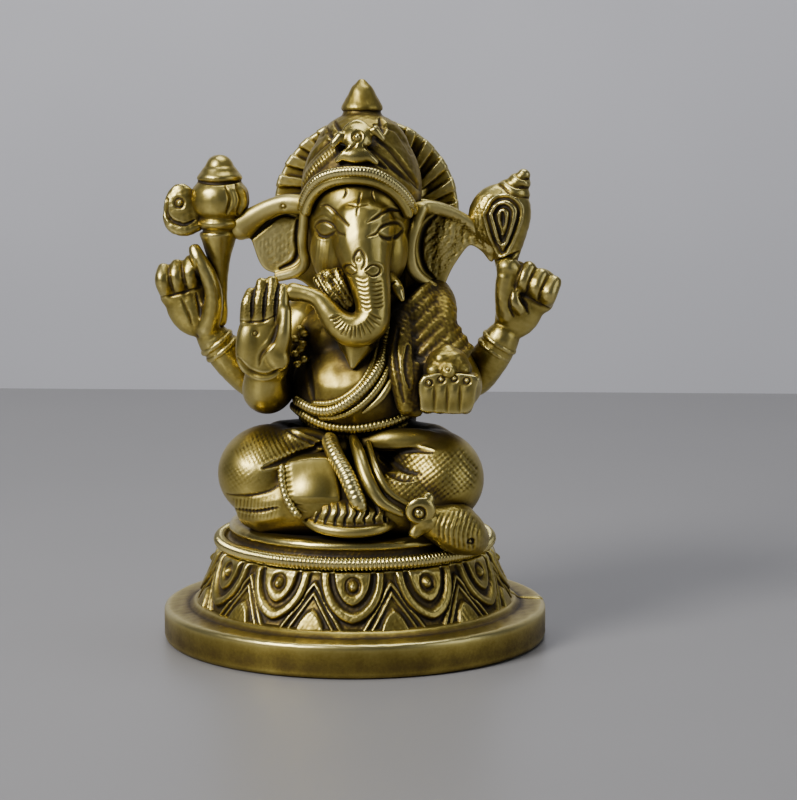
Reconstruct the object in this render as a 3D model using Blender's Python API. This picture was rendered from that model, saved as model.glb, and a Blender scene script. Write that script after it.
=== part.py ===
"""Seated four-armed Ganesha statuette in cast brass, 100 mm tall on a 69 mm round base.

The figure faces -Y, +Z is up, and the origin is the centre of the base plate's underside.
Every piece of the casting's pattern is its own closed solid, GAP away from the pieces it touches.
Coordinates in this file are millimetres, and MM turns them into metres when a mesh is made.
"""

import math

import bmesh
import bpy
from mathutils import Euler, Matrix, Vector

MM = 0.001

# Driving dimensions, in millimetres.
BASE_RADIUS = 34.5
BASE_HEIGHT = 6.0
HOLLOW_RADIUS = 21.0
LOTUS_FOOT_RADIUS = 28.8
LOTUS_TOP_RADIUS = 24.4
LOTUS_TOP = 16.4
PETALS = 12
ROPE_RING_RADIUS = 24.3
ROPE_RADIUS = 1.0
STEP_RADIUS = 23.0
SEAT_RADIUS = 22.0
SEAT_TOP = 21.3
TORSO_X = 1.0
HEAD_X = 1.4
HALO_RADIUS = 17.0
HALO_CENTRE = Vector((HEAD_X, 8.6, 76.2))
HALO_FLUTES = 25
CROWN_SLOPE = 0.55
CROWN_EDGE = 78.4
FINIAL_FOOT = 94.2
TOTAL_HEIGHT = 100.0
GAP = 0.35

# Levels worked out from the driving dimensions.
LOTUS_FOOT = BASE_HEIGHT + GAP
ROPE_LEVEL = LOTUS_TOP + GAP + ROPE_RADIUS
STEP_FOOT = LOTUS_TOP + GAP
STEP_TOP = 19.2
SEAT_FOOT = STEP_TOP + GAP
FIGURE_FOOT = SEAT_TOP + GAP

FINE, MEDIUM, COARSE = 3, 2, 1
HAND_Y = 0.3

# Swollen copies of each sub-part's shapes, which cut its neighbours back.
CUTTERS = {}


def clear_scene():
    for obj in list(bpy.data.objects):
        bpy.data.objects.remove(obj)


def brass(name, color, roughness):
    material = bpy.data.materials.new(name)
    material.use_nodes = True
    shader = material.node_tree.nodes["Principled BSDF"]
    shader.inputs["Base Color"].default_value = (*color, 1.0)
    shader.inputs["Metallic"].default_value = 1.0
    shader.inputs["Roughness"].default_value = roughness
    return material


# ---- Shapes ---------------------------------------------------------------------------------


def mesh_object(bm, name="shape"):
    """Turns a bmesh in millimetres into an object in metres, with its faces pointing out."""
    bmesh.ops.remove_doubles(bm, verts=bm.verts, dist=1e-4)
    bmesh.ops.recalc_face_normals(bm, faces=bm.faces)
    bmesh.ops.scale(bm, verts=bm.verts, vec=(MM, MM, MM))
    mesh = bpy.data.meshes.new(name)
    bm.to_mesh(mesh)
    bm.free()
    obj = bpy.data.objects.new(name, mesh)
    bpy.context.scene.collection.objects.link(obj)
    return obj


def ellipsoid(centre, radii, tilt=(0, 0, 0), detail=MEDIUM):
    """A closed ellipsoid. tilt is in degrees about X, Y and Z."""
    bm = bmesh.new()
    bmesh.ops.create_icosphere(bm, subdivisions=detail, radius=1)
    turn = Euler([math.radians(a) for a in tilt]).to_matrix().to_4x4()
    place = Matrix.Translation(centre) @ turn @ Matrix.Diagonal((*radii, 1))
    bmesh.ops.transform(bm, verts=bm.verts, matrix=place)
    return mesh_object(bm)


def smooth_path(points, steps):
    """Points on a Catmull-Rom curve through the given points."""
    rows = [Vector(p) for p in points]
    ends = [2 * rows[0] - rows[1], *rows, 2 * rows[-1] - rows[-2]]
    curve = []
    for a, b, c, d in zip(ends, ends[1:], ends[2:], ends[3:]):
        for i in range(steps):
            t = i / steps
            curve.append(
                0.5 * (2 * b + (c - a) * t + (2 * a - 5 * b + 4 * c - d) * t * t)
                + 0.5 * (3 * b - a - 3 * c + d) * t**3
            )
    return [*curve, rows[-1]]


def limb(points, radii, sides=10, steps=2, flat=1.0, wide_axis=None):
    """A tube with round ends whose radius changes along a smooth path.

    flat squeezes its section at right angles to wide_axis, which makes a band of it.
    """
    path = smooth_path(points, steps)
    widths = [v.x for v in smooth_path([(r, 0, 0) for r in radii], steps)]
    ahead = [
        (path[min(i + 1, len(path) - 1)] - path[max(i - 1, 0)]).normalized()
        for i in range(len(path))
    ]
    rows = [(path[0] - ahead[0] * widths[0] * 0.7, ahead[0], widths[0] * 0.7)]
    rows += list(zip(path, ahead, widths))
    rows.append((path[-1] + ahead[-1] * widths[-1] * 0.7, ahead[-1], widths[-1] * 0.7))
    side = Vector(wide_axis) if wide_axis else ahead[0].orthogonal()
    bm = bmesh.new()
    rings = []
    for centre, direction, radius in rows:
        if not wide_axis:
            side = side - direction * side.dot(direction)
        across = (side - direction * side.dot(direction)).normalized()
        up = direction.cross(across)
        ring = []
        for i in range(sides):
            angle = math.tau * i / sides
            offset = across * math.cos(angle) + up * math.sin(angle) * flat
            ring.append(bm.verts.new(centre + offset * radius))
        rings.append(ring)
    for low, high in zip(rings, rings[1:]):
        for i in range(sides):
            j = (i + 1) % sides
            bm.faces.new((low[i], low[j], high[j], high[i]))
    for ring, (centre, direction, radius), sign in (
        (rings[0], rows[0], -1),
        (rings[-1], rows[-1], 1),
    ):
        tip = bm.verts.new(centre + direction * radius * 0.45 * sign)
        for i in range(sides):
            bm.faces.new((ring[i], ring[(i + 1) % sides], tip))
    return mesh_object(bm)


def turned(profile, steps=32, centre=(0, 0, 0), tilt=(0, 0, 0)):
    """A solid of revolution. profile lists (radius, height) points and ends on the axis."""
    return spun([(0, profile[0][1]), *profile], steps, centre, tilt)


def turned_ring(profile, steps=32):
    """A ring of revolution about +Z, from a closed outline of (radius, height) points."""
    return spun([*profile, profile[0]], steps, (0, 0, 0), (0, 0, 0))


def spun(profile, steps, centre, tilt):
    bm = bmesh.new()
    verts = [bm.verts.new((r, 0, z)) for r, z in profile]
    edges = [bm.edges.new((a, b)) for a, b in zip(verts, verts[1:])]
    bmesh.ops.spin(
        bm, geom=verts + edges, axis=(0, 0, 1), cent=(0, 0, 0), angle=math.tau,
        steps=steps, use_merge=True,
    )
    turn = Euler([math.radians(a) for a in tilt]).to_matrix().to_4x4()
    bmesh.ops.transform(bm, verts=bm.verts, matrix=Matrix.Translation(centre) @ turn)
    return mesh_object(bm)


def torus(centre, axis, radii, thickness, steps=24, sides=6):
    """A ring of round section about an axis. radii are its two half widths."""
    bm = bmesh.new()
    turn = Vector((0, 0, 1)).rotation_difference(Vector(axis)).to_matrix()
    rings = []
    for i in range(steps):
        a = math.tau * i / steps
        middle = Vector((radii[0] * math.cos(a), radii[1] * math.sin(a), 0))
        out = Vector((math.cos(a), math.sin(a), 0))
        rings.append([])
        for j in range(sides):
            b = math.tau * j / sides
            offset = out * math.cos(b) + Vector((0, 0, math.sin(b)))
            rings[-1].append(
                bm.verts.new(Vector(centre) + turn @ (middle + offset * thickness))
            )
    for i in range(steps):
        this, following = rings[i], rings[(i + 1) % steps]
        for j in range(sides):
            k = (j + 1) % sides
            bm.faces.new((this[j], this[k], following[k], following[j]))
    return mesh_object(bm)


def plate(outline, front, thickness, rounding=0.5):
    """A flat plate in the XZ plane from an outline of (x, z) points, with rounded edges."""
    bm = bmesh.new()
    face = bm.faces.new([bm.verts.new((x, front, z)) for x, z in outline])
    made = bmesh.ops.extrude_face_region(bm, geom=[face])
    moved = [v for v in made["geom"] if isinstance(v, bmesh.types.BMVert)]
    bmesh.ops.translate(bm, verts=moved, vec=(0, thickness, 0))
    bmesh.ops.recalc_face_normals(bm, faces=bm.faces)
    rims = [e for e in bm.edges if abs(e.calc_face_angle(0)) > 1.2]
    bmesh.ops.bevel(bm, geom=rims, offset=rounding, segments=1, affect="EDGES")
    return mesh_object(bm)


# ---- Joining and fitting --------------------------------------------------------------------


def boolean(target, tool, operation):
    modifier = target.modifiers.new("boolean", "BOOLEAN")
    modifier.operation = operation
    modifier.solver = "EXACT"
    modifier.object = tool
    bpy.context.view_layer.update()
    graph = bpy.context.evaluated_depsgraph_get()
    mesh = bpy.data.meshes.new_from_object(target.evaluated_get(graph))
    target.modifiers.remove(modifier)
    bpy.data.meshes.remove(swap_mesh(target, mesh))


def swap_mesh(obj, mesh):
    old = obj.data
    obj.data = mesh
    return old


def swollen(obj, amount):
    """A copy of obj whose surface stands that far outside it, as a cutter."""
    bm = bmesh.new()
    bm.from_mesh(obj.data)
    bm.normal_update()
    moves = [(v, v.normal * amount * MM) for v in bm.verts]
    for vert, move in moves:
        vert.co += move
    mesh = bpy.data.meshes.new("cutter")
    bm.to_mesh(mesh)
    bm.free()
    cutter = bpy.data.objects.new("cutter", mesh)
    bpy.context.scene.collection.objects.link(cutter)
    return cutter


def keep_largest(obj):
    """Drops the loose off-cuts that trimming leaves beside the main body."""
    bm = bmesh.new()
    bm.from_mesh(obj.data)
    left = set(bm.verts)
    islands = []
    while left:
        stack = [left.pop()]
        island = set(stack)
        while stack:
            for edge in stack.pop().link_edges:
                for vert in edge.verts:
                    if vert in left:
                        left.remove(vert)
                        island.add(vert)
                        stack.append(vert)
        islands.append(island)
    islands.sort(key=span, reverse=True)
    for island in islands[1:]:
        bmesh.ops.delete(bm, geom=list(island), context="VERTS")
    bm.to_mesh(obj.data)
    bm.free()


def span(verts):
    points = [v.co for v in verts]
    return sum(max(p[i] for p in points) - min(p[i] for p in points) for i in range(3))


def fuse(name, material, *shapes):
    """Joins overlapping shapes into one named solid, and keeps a swollen copy of each shape."""
    CUTTERS[name] = [swollen(shape, GAP) for shape in shapes]
    body = shapes[0]
    for shape in shapes[1:]:
        boolean(body, shape, "UNION")
        bpy.data.objects.remove(shape)
    body.name = name
    body.data.name = name
    body.data.materials.clear()
    body.data.materials.append(material)
    body.data.shade_smooth()
    body.data.set_sharp_from_angle(angle=math.radians(40))
    return body


def apart(first, second):
    """True when the boxes round two objects do not meet."""
    (low_a, high_a), (low_b, high_b) = (
        ([min(c[i] for c in o.bound_box) for i in range(3)],
         [max(c[i] for c in o.bound_box) for i in range(3)])
        for o in (first, second)
    )
    return any(high_a[i] < low_b[i] or high_b[i] < low_a[i] for i in range(3))


def trim(obj, *neighbours):
    """Cuts obj back so that it seats on each neighbour with GAP between them."""
    for neighbour in neighbours:
        for cutter in CUTTERS[neighbour.name]:
            if not apart(obj, cutter):
                boolean(obj, cutter, "DIFFERENCE")
    keep_largest(obj)
    return obj


def drop_cutters():
    for cutters in CUTTERS.values():
        for cutter in cutters:
            bpy.data.objects.remove(cutter)


def cut_below(obj, point, normal):
    """Cuts away what lies under a plane and closes the cut with a flat face."""
    bm = bmesh.new()
    bm.from_mesh(obj.data)
    geometry = list(bm.verts) + list(bm.edges) + list(bm.faces)
    cut = bmesh.ops.bisect_plane(
        bm, geom=geometry, plane_co=Vector(point) * MM, plane_no=normal, clear_inner=True
    )
    rim = [e for e in cut["geom_cut"] if isinstance(e, bmesh.types.BMEdge)]
    bmesh.ops.edgeloop_fill(bm, edges=rim)
    bmesh.ops.recalc_face_normals(bm, faces=bm.faces)
    bm.to_mesh(obj.data)
    bm.free()
    return obj


def seat(obj):
    """Gives a piece of the figure the flat foot that stands on the seat plate."""
    return cut_below(obj, (0, 0, FIGURE_FOOT), (0, 0, 1))


# ---- Base -----------------------------------------------------------------------------------


def make_base(bright, dark):
    edge = 0.5
    outline = [
        (HOLLOW_RADIUS, 0), (BASE_RADIUS - edge, 0), (BASE_RADIUS, edge),
        (BASE_RADIUS, BASE_HEIGHT - edge), (BASE_RADIUS - edge, BASE_HEIGHT),
        (HOLLOW_RADIUS, BASE_HEIGHT),
    ]
    fuse("base_plate", bright, turned_ring(outline, 60))
    lotus = fuse("lotus_pedestal", dark, lotus_shell())
    ring = torus((0, 0, ROPE_LEVEL), (0, 0, 1), (ROPE_RING_RADIUS,) * 2, ROPE_RADIUS, 48, 6)
    rope = fuse("pedestal_rope_ring", bright, ring)
    step = [(STEP_RADIUS, STEP_FOOT), (STEP_RADIUS, STEP_TOP), (0, STEP_TOP)]
    step_plate = trim(fuse("plinth_step", bright, turned(step, 40)), rope)
    top = [
        (SEAT_RADIUS - 0.8, SEAT_FOOT), (SEAT_RADIUS, SEAT_FOOT + 0.8),
        (SEAT_RADIUS - 0.4, SEAT_TOP), (0, SEAT_TOP),
    ]
    plate_top = fuse("seat_plate", bright, turned(top, 40))
    return lotus, rope, step_plate, plate_top


def lotus_shell():
    """The bell-shaped pedestal wall, with a low relief of hanging petals and an open underside."""
    per_petal = 6
    rows = 4
    bm = bmesh.new()
    outer = []
    for row in range(rows + 1):
        share = row / rows
        height = LOTUS_FOOT + (LOTUS_TOP - LOTUS_FOOT) * share
        flare = (1 - share) ** 1.4
        base = LOTUS_TOP_RADIUS + (LOTUS_FOOT_RADIUS - LOTUS_TOP_RADIUS) * flare
        ring = []
        for i in range(PETALS * per_petal):
            angle = math.tau * i / (PETALS * per_petal)
            swell = 0.75 * math.cos(PETALS * (angle + math.pi / 2)) * math.sin(math.pi * share)
            radius = base + swell
            ring.append(
                bm.verts.new((radius * math.cos(angle), radius * math.sin(angle), height))
            )
        outer.append(ring)
    inner = []
    for height in (LOTUS_FOOT, LOTUS_TOP):
        inner.append([
            bm.verts.new((HOLLOW_RADIUS * v.co.x / v.co.xy.length,
                          HOLLOW_RADIUS * v.co.y / v.co.xy.length, height))
            for v in outer[0]
        ])
    count = PETALS * per_petal
    loops = [inner[0], *outer, inner[1], inner[0]]
    for low, high in zip(loops, loops[1:]):
        for i in range(count):
            j = (i + 1) % count
            bm.faces.new((low[i], low[j], high[j], high[i]))
    return mesh_object(bm)


# ---- Body and legs --------------------------------------------------------------------------


def make_body(skin, cloth, bright):
    torso = fuse(
        "torso", skin,
        ellipsoid((TORSO_X, 3, 30), (11.5, 10.5, 12), detail=MEDIUM),
        ellipsoid((TORSO_X, -3.5, 46), (12.4, 12.6, 9.6), detail=FINE),
        ellipsoid((TORSO_X + 0.2, 0.8, 55), (12, 8.4, 8), detail=MEDIUM),
    )
    seat(torso)
    right_leg = fuse(
        "right_leg", cloth,
        ellipsoid((-14.4, -8.2, 30.9), (9, 10.6, 8.5), tilt=(0, 8, -20), detail=FINE),
        limb([(-2.5, 2, 31.6), (-12.5, -4.5, 31.2)], (8, 8.4), 12, 1),
        limb([(-14.5, -12, 27.4), (-6, -14.6, 27.2), (0, -14.4, 26.6)], (6.4, 6, 5.2), 12),
    )
    trim(seat(right_leg), torso)
    left_leg = fuse(
        "left_leg", cloth,
        ellipsoid((14.6, -8.2, 30.2), (8.8, 10.6, 8.5), tilt=(0, -8, 20), detail=FINE),
        limb([(5, 2, 31.4), (13.5, -4.5, 31)], (8, 8.2), 12, 1),
        limb([(15, -12, 27), (8.6, -14.8, 26.8), (4, -14.4, 26)], (6.2, 5.8, 5), 12),
    )
    trim(seat(left_leg), torso, right_leg)
    right_shin = fuse(
        "right_shin", skin,
        plate([(-9.8, 26.6), (-10.8, 29.6), (-11.4, 33.2), (-9.6, 34.3), (-3, 34.4), (-1.7, 31.5),
               (-1.2, 28.2), (-5.6, 26.2)],
              -21.0, 8, 1.1),
    )
    trim(seat(right_shin), torso, right_leg, left_leg)
    anklet = fuse(
        "right_anklet", bright,
        limb([(-11.9, -19.4, 33.4), (-11.4, -20.6, 30.6), (-10.1, -20.6, 27)], (0.85, 1, 0.9), 8),
    )
    trim(seat(anklet), right_leg, right_shin)
    fan = fuse(
        "dhoti_fan", cloth,
        ellipsoid((0.6, -15, 24.2), (9.4, 8.6, 4.3), tilt=(-8, 0, 0)),
    )
    trim(seat(fan), torso, right_leg, left_leg, right_shin, anklet)
    return torso, right_leg, left_leg, right_shin, fan


def make_sashes(torso, right_leg, left_leg, right_shin, fan, cloth, bright):
    belt_ring = torus((TORSO_X, -1.6, 41.2), (0, -0.12, 1), (11.9, 12), 1.5, 32, 6)
    belt = trim(fuse("waist_rope_belt", bright, belt_ring), torso, right_leg, left_leg)
    tail = limb(
        [(-3.4, -10.6, 38), (-2.4, -15.2, 35.8), (0.2, -19.6, 32.2), (1.9, -21.6, 28.6), (3.4, -22, 27)],
        (1.5, 1.6, 1.6, 1.5, 1.2), 8, 2,
    )
    rope_tail = trim(
        fuse("sash_rope_tail", bright, tail), torso, left_leg, right_leg, right_shin, fan, belt
    )
    folds = [rope_tail]
    routes = (
        (
            "sash_inner_fold",
            [(1.2, -12, 38), (2.2, -16, 35.6), (4, -20, 31.4), (6.2, -21.2, 28), (8.8, -21, 26)],
        ),
        ("sash_outer_fold", [(4.4, -13, 37.6), (5.6, -18.4, 33), (7.4, -20.6, 29.6), (10.8, -20.8, 27)]),
    )
    for name, route in routes:
        fold = fuse(name, cloth, limb(route, (1.3, 1.4, 1.3, 1.0), 8, 3, 0.8, (1, 0, 0)))
        trim(seat(fold), torso, left_leg, right_leg, right_shin, fan, belt, *folds)
        folds.append(fold)
    thread = limb(
        [(6.8, -7.6, 58.6), (6.3, -11.6, 55), (5.4, -14, 51), (3.6, -15.9, 48.1), (0.5, -16.7, 45.2),
         (-2.6, -15.6, 43.1), (-5.8, -13.8, 42.9), (-9.4, -10.4, 44.2)],
        (1.0,) * 8, 8, 2,
    )
    sacred_thread = trim(fuse("sacred_thread", bright, thread), torso, belt)
    return belt, folds, sacred_thread


# ---- Head -----------------------------------------------------------------------------------


def make_head(torso, halo, skin):
    head = fuse(
        "head", skin,
        ellipsoid((HEAD_X, -2.6, 75), (9.2, 9.6, 9), detail=FINE),
        ellipsoid((HEAD_X, -5.4, 69.4), (8.2, 8, 9.4), detail=MEDIUM),
        ellipsoid((HEAD_X, -4.4, 62.4), (6.4, 6.6, 5), detail=MEDIUM),
        limb([(HEAD_X, -1, 66), (HEAD_X, 0.6, 60)], (6.4, 6), 14),
    )
    trim(head, torso, halo)
    trunk = fuse(
        "trunk", skin,
        limb([(2.4, -9.8, 71), (3.4, -12.9, 67), (4.0, -14.4, 63.6), (4.1, -15.2, 60.4),
              (3.4, -15.4, 58.2)],
             (4.2, 3.6, 3.1, 2.9, 2.9), 10, 2),
        limb([(3.8, -15.4, 58.8), (1.2, -15.9, 57.1), (-1.8, -15.9, 58.4), (-3.6, -15.7, 60.6),
              (-5.4, -15.4, 62.7), (-9.3, -14.8, 63.5)],
             (2.9, 2.8, 2.3, 1.8, 1.4, 1.5), 10, 2),
    )
    trim(trunk, head, torso)
    right_tusk = fuse("right_tusk", skin, limb([(-3.4, -9, 64), (-3.9, -12.4, 62.4)], (1.5, 1.2), 8))
    trim(right_tusk, head, trunk, torso)
    left_tusk = fuse("left_tusk", skin, limb([(7, -8.8, 64.4), (8.8, -12.6, 61.4)], (1.4, 0.7), 8))
    trim(left_tusk, head, trunk, torso)
    lip = fuse(
        "lower_lip", skin,
        ellipsoid((1.2, -11.4, 56.4), (3.4, 3.2, 4.4), tilt=(-14, 0, 0)),
        limb([(1.2, -13, 54.6), (0.8, -14.2, 51.6)], (2.4, 1.0), 8, 1),
    )
    trim(lip, head, trunk, torso)
    return head, trunk, right_tusk, left_tusk, lip


def make_crown(head, halo, bright, dark):
    edge_normal = Vector((0, CROWN_SLOPE, 1)).normalized()
    dome = fuse(
        "crown", dark,
        ellipsoid((HEAD_X, -0.8, 80.6), (10.6, 10.8, 12.4), detail=FINE),
        turned([(4.4, 90.5), (4.6, 93.0), (3.6, FINIAL_FOOT - GAP), (0, FINIAL_FOOT - GAP)],
               16, (HEAD_X, 0, 0)),
    )
    cut_below(dome, (0, -2, CROWN_EDGE + 1.6), edge_normal)
    trim(dome, head, halo)
    band_ring = torus(
        (HEAD_X, -0.9, CROWN_EDGE - 0.2), edge_normal, (10.6, 12.2), 1.3, 32, 6
    )
    band = trim(fuse("crown_rope_band", bright, band_ring), head, dome, halo)
    jewel = fuse(
        "crown_jewel", bright,
        ellipsoid((HEAD_X + 0.4, -10.2, 87.4), (3.2, 1.8, 3.4), tilt=(-32, 0, 0)),
        ellipsoid((HEAD_X + 0.4, -11.3, 84.9), (4.2, 1.5, 1.6), tilt=(-20, 0, 0)),
    )
    trim(jewel, dome, band, head)
    fuse(
        "crown_finial", bright,
        turned(
            [(3.2, FINIAL_FOOT), (3.6, FINIAL_FOOT + 0.7), (3.2, FINIAL_FOOT + 1.8),
             (2.2, FINIAL_FOOT + 3.6), (1.0, TOTAL_HEIGHT - 0.7), (0.4, TOTAL_HEIGHT - 0.1),
             (0, TOTAL_HEIGHT)],
            16, (HEAD_X, 0.4, 0),
        ),
    )
    return dome, band


def make_halo(torso, bright):
    """The round glory behind the head, with a fluted rim."""
    bm = bmesh.new()
    front, back = [], []
    for i in range(HALO_FLUTES * 2):
        angle = math.tau * i / (HALO_FLUTES * 2)
        radius = HALO_RADIUS - (0.35 if i % 2 else 0)
        point = Vector((math.cos(angle), 0, math.sin(angle))) * radius
        front.append(bm.verts.new(HALO_CENTRE + point + Vector((0, -1.1, 0))))
        back.append(bm.verts.new(HALO_CENTRE + point + Vector((0, 1.1, 0))))
    bm.faces.new(front)
    bm.faces.new(back)
    for i in range(len(front)):
        j = (i + 1) % len(front)
        bm.faces.new((front[i], front[j], back[j], back[i]))
    return trim(fuse("halo", bright, mesh_object(bm)), torso)


def make_ears(cut_by, skin):
    right = [
        (-6, 79.5), (-12, 79.6), (-18.0, 77.9), (-18.5, 75.2), (-17.7, 72.4), (-15.6, 68.9),
        (-12.6, 65.6), (-9.6, 63.6), (-5.5, 62.4),
    ]
    left = [
        (8.8, 79.8), (14.5, 79.6), (19.6, 77.6), (20.8, 75.2), (19.6, 70.4), (17.6, 65.6),
        (15.4, 61.9), (12.8, 60.4), (8.4, 60.2),
    ]
    right_ear = fuse("right_ear", skin, plate(right, -1.4, 2.6, 0.7))
    left_ear = fuse("left_ear", skin, plate(left, -1.4, 2.6, 0.7))
    for ear in (right_ear, left_ear):
        trim(ear, *cut_by)
    return right_ear, left_ear


# ---- Arms and what they hold ----------------------------------------------------------------


def finger(root, tip, radius=1.25):
    return limb([root, tip], (radius, radius * 0.9), 6, 1)


def make_arms(torso, right_leg, left_leg, head_parts, skin, bright):
    """Four arms. The rear pair is raised, the front pair blesses and offers."""
    front_right = fuse(
        "lower_right_arm", skin,
        limb(
            [(-8.6, -0.4, 57), (-12.6, -3, 50.6), (-14.6, -6, 46), (-15, -11, 46.4), (-14.6, -13.2, 49)],
            (4.8, 4.5, 4.3, 3.9, 3.4), 12, 2,
        ),
    )
    trim(front_right, torso, right_leg, *head_parts)
    front_left = fuse(
        "lower_left_arm", skin,
        limb(
            [(11, -0.4, 56.6), (16, -2, 50.6), (18.8, -5, 46.4), (18.2, -9.6, 46.2)],
            (4.8, 4.5, 4.2, 3.5), 12, 2,
        ),
    )
    trim(front_left, torso, left_leg, *head_parts)
    rear_right = fuse(
        "upper_right_arm", skin,
        limb(
            [(-7.6, 5.4, 56), (-13, 5.6, 49.4), (-17.2, 3.6, 45.6), (-21.6, 1.4, 48.8),
             (-25.4, 0.5, 53.6)],
            (4.6, 4.3, 3.9, 3.5, 3.0), 12, 2,
        ),
    )
    trim(rear_right, torso, right_leg, front_right, *head_parts)
    rear_left = fuse(
        "upper_left_arm", skin,
        limb(
            [(10, 5.4, 56), (15.6, 5.6, 49.6), (20.2, 3.6, 46.2), (23.8, 1.4, 49.8),
             (26.4, 0.5, 54)],
            (4.6, 4.3, 3.9, 3.5, 3.0), 12, 2,
        ),
    )
    trim(rear_left, torso, left_leg, front_left, *head_parts)
    cuffs = []
    for name, centre, axis, hugged in (
        ("upper_right_bracelet", (-24.4, 0.7, 52.3), (-0.62, -0.1, 0.78), rear_right),
        ("upper_left_bracelet", (25.5, 0.7, 52.6), (0.54, -0.1, 0.84), rear_left),
    ):
        cuff = fuse(name, bright, torus(centre, axis, (3.75, 3.75), 0.75, 16, 5))
        cuffs.append(trim(cuff, hugged))
    armlet = fuse(
        "lower_right_armlet", bright, torus((-11.9, -2.6, 51.8), (-0.52, -0.28, -0.8), (5.3, 5.3), 0.9, 16, 5)
    )
    trim(armlet, front_right, torso, rear_right, *head_parts)
    return front_right, front_left, rear_right, rear_left, *cuffs, armlet


def make_blessing_hand(arm, bright_parts, skin):
    """The raised open right palm."""
    fingers = [
        finger((-17.2 + 1.9 * i, -15.2, 58.6), (-16.4 + 1.75 * i, -14.6, height), 1.15)
        for i, height in enumerate((63.8, 65.4, 65.9, 64.8))
    ]
    hand = fuse(
        "blessing_hand", skin,
        ellipsoid((-14.2, -15.6, 54.6), (4.7, 2.5, 7.4), tilt=(-4, 2, 0)),
        ellipsoid((-14.4, -14.4, 50.6), (3.6, 3, 3.6)),
        *fingers,
        finger((-11, -15.6, 55), (-10.8, -14.8, 60.4), 1.1),
    )
    trim(hand, arm, *bright_parts)


def make_offering_hand(arm, others, skin, bright):
    """The left palm in the lap, and the heap of sweets that it holds."""
    fingers = [
        finger((13.6 + 2.25 * i, -15.4, 43.9), (13.6 + 2.25 * i, -16.2, 48.8), 1.2)
        for i in range(4)
    ]
    hand = fuse(
        "offering_hand", skin,
        ellipsoid((17, -12.8, 46.2), (4.9, 3.9, 3.5)),
        limb([(13.4, -14, 45), (20.4, -14, 45)], (2.4, 2.4), 10, 2),
        *fingers,
    )
    trim(hand, arm, *others)
    heap = fuse(
        "sweets_heap", bright,
        ellipsoid((16.9, -12.6, 50.2), (4.2, 3.9, 4.0)),
        ellipsoid((14.6, -14.6, 50.6), (1.5,) * 3, detail=COARSE),
        ellipsoid((17, -15.4, 51.2), (1.5,) * 3, detail=COARSE),
        ellipsoid((19.3, -14.6, 50.8), (1.5,) * 3, detail=COARSE),
    )
    trim(heap, hand, arm, *others)
    return hand, heap


def make_axe_hand(arm, cuff, ear, skin, bright):
    """The raised right hand with its axe: a long socket, a round head and a curved blade."""
    shaft = fuse(
        "axe_shaft", bright,
        turned([(1.5, 56.6), (1.7, 62), (2.1, 67), (3.2, 72.4), (0, 72.4)], 14, (-24.3, 0.2, 0)),
    )
    trim(shaft, arm, cuff)
    axe_head = fuse(
        "axe_head", bright,
        turned(
            [(3.3, 72.75), (3.9, 73.6), (3.9, 74.8), (3.2, 75.3), (4.7, 76.4), (5.3, 78.4),
             (4.9, 80.6), (3.7, 82.1), (4.0, 82.8), (3.8, 83.6), (2.8, 84.2), (2.4, 85.2),
             (1.3, 86.1), (0, 86.3)],
            16, (-24.0, 0.2, 0),
        ),
    )
    trim(axe_head, ear)
    blade = fuse(
        "axe_blade", bright,
        ellipsoid((-31.6, -0.8, 77), (2.7, 1.7, 4.7), tilt=(0, 6, 0), detail=MEDIUM),
        ellipsoid((-29.6, -0.4, 76.8), (1.8, 1.5, 3.2), detail=MEDIUM),
    )
    trim(blade, axe_head)
    fingers = [
        finger((-34 + 2.6 * i, -0.6, 60.4 + 0.3 * i), (-35.12 + 2.9 * i, -1.2, 65.3 + 0.7 * i), 1.35)
        for i in range(3)
    ]
    hand = fuse(
        "upper_right_hand", skin,
        ellipsoid((-29.7, HAND_Y, 59.2), (4.2, 2.7, 5.4), tilt=(0, -36, 0)),
        ellipsoid((-31.2, HAND_Y, 61.4), (3.6, 2.4, 2.6), tilt=(0, -10, 0)),
        finger((-27.6, -0.8, 59.6), (-28.6, -1, 68.4), 1.35),
        *fingers,
    )
    trim(hand, arm, cuff, shaft, axe_head, blade)


def make_conch_hand(arm, cuff, ear, skin, bright):
    """The raised left hand with its conch."""
    conch = fuse(
        "conch", bright,
        ellipsoid((26.2, 0.2, 75.6), (5.6, 3.8, 6.4), tilt=(0, 14, 0)),
        limb([(27, 0.2, 72), (27.2, 0.2, 68.4)], (3.8, 1.9), 10, 1),
        ellipsoid((29.2, 0.2, 80.6), (2.7, 2.5, 1.6), tilt=(0, 22, 0)),
        ellipsoid((30, 0.2, 82.4), (1.7, 1.7, 1.7), tilt=(0, 22, 0)),
    )
    trim(conch, ear, arm, cuff)
    fingers = [
        finger((30.3 + 2.1 * i, -1.2, 61.6 - 0.9 * i), (30.9 + 2.12 * i, -1.6, 65.6 - 1.4 * i), 1.4)
        for i in range(3)
    ]
    hand = fuse(
        "upper_left_hand", skin,
        ellipsoid((29.6, HAND_Y, 59.4), (4, 2.7, 5.2), tilt=(0, 36, 0)),
        ellipsoid((32.2, HAND_Y, 62), (3.9, 2.5, 3), tilt=(0, 24, 0)),
        finger((27.2, -1.0, 60.4), (27.8, -1.6, 65.4), 1.5),
        *fingers,
    )
    trim(hand, arm, cuff, conch)


def make_shawl(cut_by, cloth):
    """The cloth over the left shoulder, from behind the neck down to the lap."""
    route = [(6.5, 7.6, 60.4), (10.6, 3.4, 62.6), (13.6, -2.6, 60.4), (13.6, -8, 55), (11.6, -12, 48.4),
             (10.6, -13, 43)]
    shawl = fuse(
        "shoulder_shawl", cloth,
        limb(route, (3.6, 4.2, 4.6, 4.4, 3.6, 2.8), 10, 2, 0.6, (0.94, -0.1, 0.3)),
    )
    trim(shawl, *cut_by)


# ---- Mouse ----------------------------------------------------------------------------------


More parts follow.
